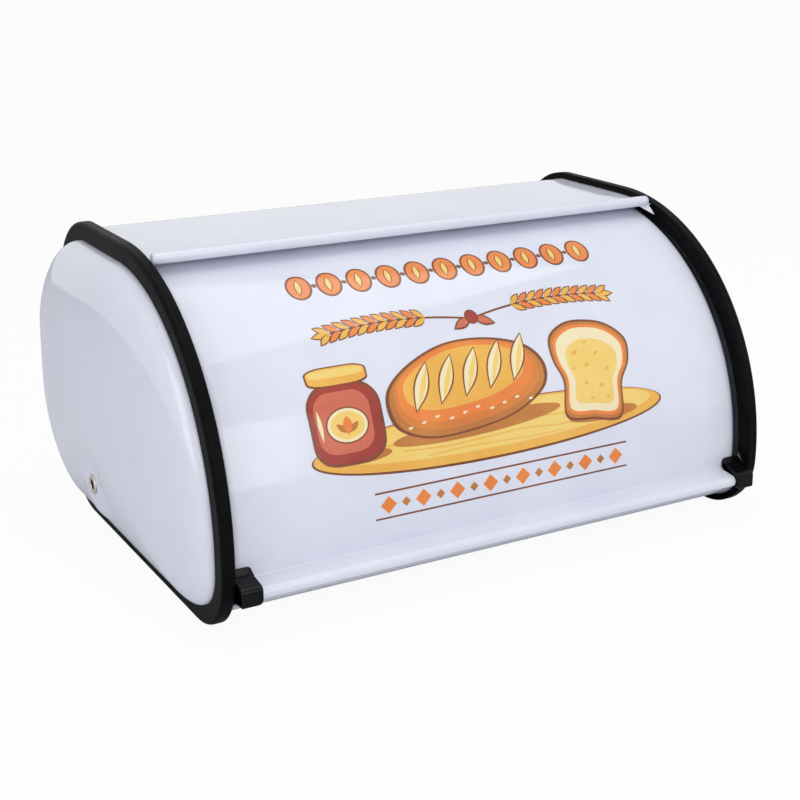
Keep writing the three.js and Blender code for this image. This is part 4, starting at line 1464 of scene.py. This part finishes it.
def wheat_ear(foot, heading, bow, length):
    """A bowed stem with pairs of kernels along it."""
    line = []
    for k in range(EAR_STEPS + 1):
        t = k / EAR_STEPS
        angle = math.radians(heading + bow * t)
        line.append((foot[0] + length * t * math.cos(angle), foot[1] + length * t * math.sin(angle)))
    outlines, bodies = [], []
    for k in range(FIRST_KERNEL, EAR_STEPS + 1):
        along = Vector(line[k]) - Vector(line[k - 1])
        tilt = math.degrees(math.atan2(along.y, along.x))
        for side in (-1, 1):
            outlines.append((leaf(line[k], *KERNEL_LINE, tilt + side * KERNEL_SPREAD), "brown"))
            ink = "gold" if (k + side) % 2 else "orange"
            bodies.append((leaf(line[k], *KERNEL_BODY, tilt + side * KERNEL_SPREAD), ink))
    outlines.append((leaf(line[-1], *TIP_LINE, tilt), "brown"))
    bodies.append((leaf(line[-1], *TIP_BODY, tilt), "gold"))
    stem = [(stroke(line, STEM_WIDTH), "brown")]
    return [stem, outlines[::2], bodies[::2], outlines[1::2], bodies[1::2]]


left_ear = wheat_ear((TIE[0] - EAR_START, TIE[1]), 180 - EAR_HEADING, -EAR_BOW, EAR_LENGTH)
print_on_lid("printed_wheat_left", left_ear)
right_ear = wheat_ear((TIE[0] + EAR_START, TIE[1]), EAR_HEADING, EAR_BOW, EAR_LENGTH)
print_on_lid("printed_wheat_right", right_ear)
print_on_lid("printed_wheat_tie", [
    [(leaf(TIE, *BOW_LINE, tilt), "brown") for tilt in TIE_TILTS],
    [
        (leaf((TIE[0] + side * TIE_INNER, TIE[1] - TIE_INNER / 4), *BOW_BODY, tilt), "rose")
        for side, tilt in zip((-1, 1), TIE_TILTS)
    ],
    [(oval(TIE, *KNOT_LINE, 0, KNOT_CORNERS), "brown")],
    [(oval(TIE, *KNOT_BODY, 0, KNOT_CORNERS), "berry")],
], EAR_LAYERS)

# %% Print the border
BORDER_COUNT, BORDER_PITCH, BORDER_PLACE = 11, 18.4, 141.0
BORDER_LINE, BORDER_BODY, BORDER_TILT, DOT, DOT_CORNERS = (7.6, 9.6), (6.3, 8.3), -14, (1.5, 1.5), 16
# Each vein has a shift from the middle of its leaf, a length, a width and an ink.
VEINS = [((-1.2, -6), 12.4, 4.6, "brown"), ((-1.1, -5.2), 10.8, 3.2, "yellow")]
VEIN_TILT = 82

border_places = [(k - (BORDER_COUNT - 1) / 2) * BORDER_PITCH for k in range(BORDER_COUNT)]
border_dots = [place + BORDER_PITCH / 2 for place in border_places[:-1]]
print_on_lid("printed_leaf_border", [
    [(oval((u, BORDER_PLACE), *BORDER_LINE, BORDER_TILT), "brown") for u in border_places]
    + [(oval((u, BORDER_PLACE), *DOT, 0, DOT_CORNERS), "brown") for u in border_dots],
    [(oval((u, BORDER_PLACE), *BORDER_BODY, BORDER_TILT), "orange") for u in border_places],
    *[
        [(leaf((u + right, BORDER_PLACE + up), length, width, VEIN_TILT), ink) for u in border_places]
        for (right, up), length, width, ink in VEINS
    ],
])

# %% Print the rule
RULE_HALF, RULE_MIDDLE, RULE_APART, RULE_PARTS, RULE_WIDTH = 82.0, 11.5, 14.0, 6, 1.0
LOZENGES, LOZENGE_INSET, LARGE_LOZENGE, SMALL_LOZENGE = 15, 8, 4.8, 2.7

rule_places = [-RULE_HALF + RULE_HALF * k / RULE_PARTS for k in range(2 * RULE_PARTS + 1)]
rule_shapes = [
    (stroke([(u, RULE_MIDDLE + up) for u in rule_places], RULE_WIDTH), "brown")
    for up in (-RULE_APART / 2, RULE_APART / 2)
]
for k in range(LOZENGES):
    u = (k / (LOZENGES - 1) * 2 - 1) * (RULE_HALF - LOZENGE_INSET)
    size, ink = (LARGE_LOZENGE, "orange") if k % 2 == 0 else (SMALL_LOZENGE, "crust")
    corners = [(-size, 0), (0, -size), (size, 0), (0, size)]
    rule_shapes.append(([(u + right, RULE_MIDDLE + up) for right, up in corners], ink))
print_on_lid("printed_rule", [rule_shapes])
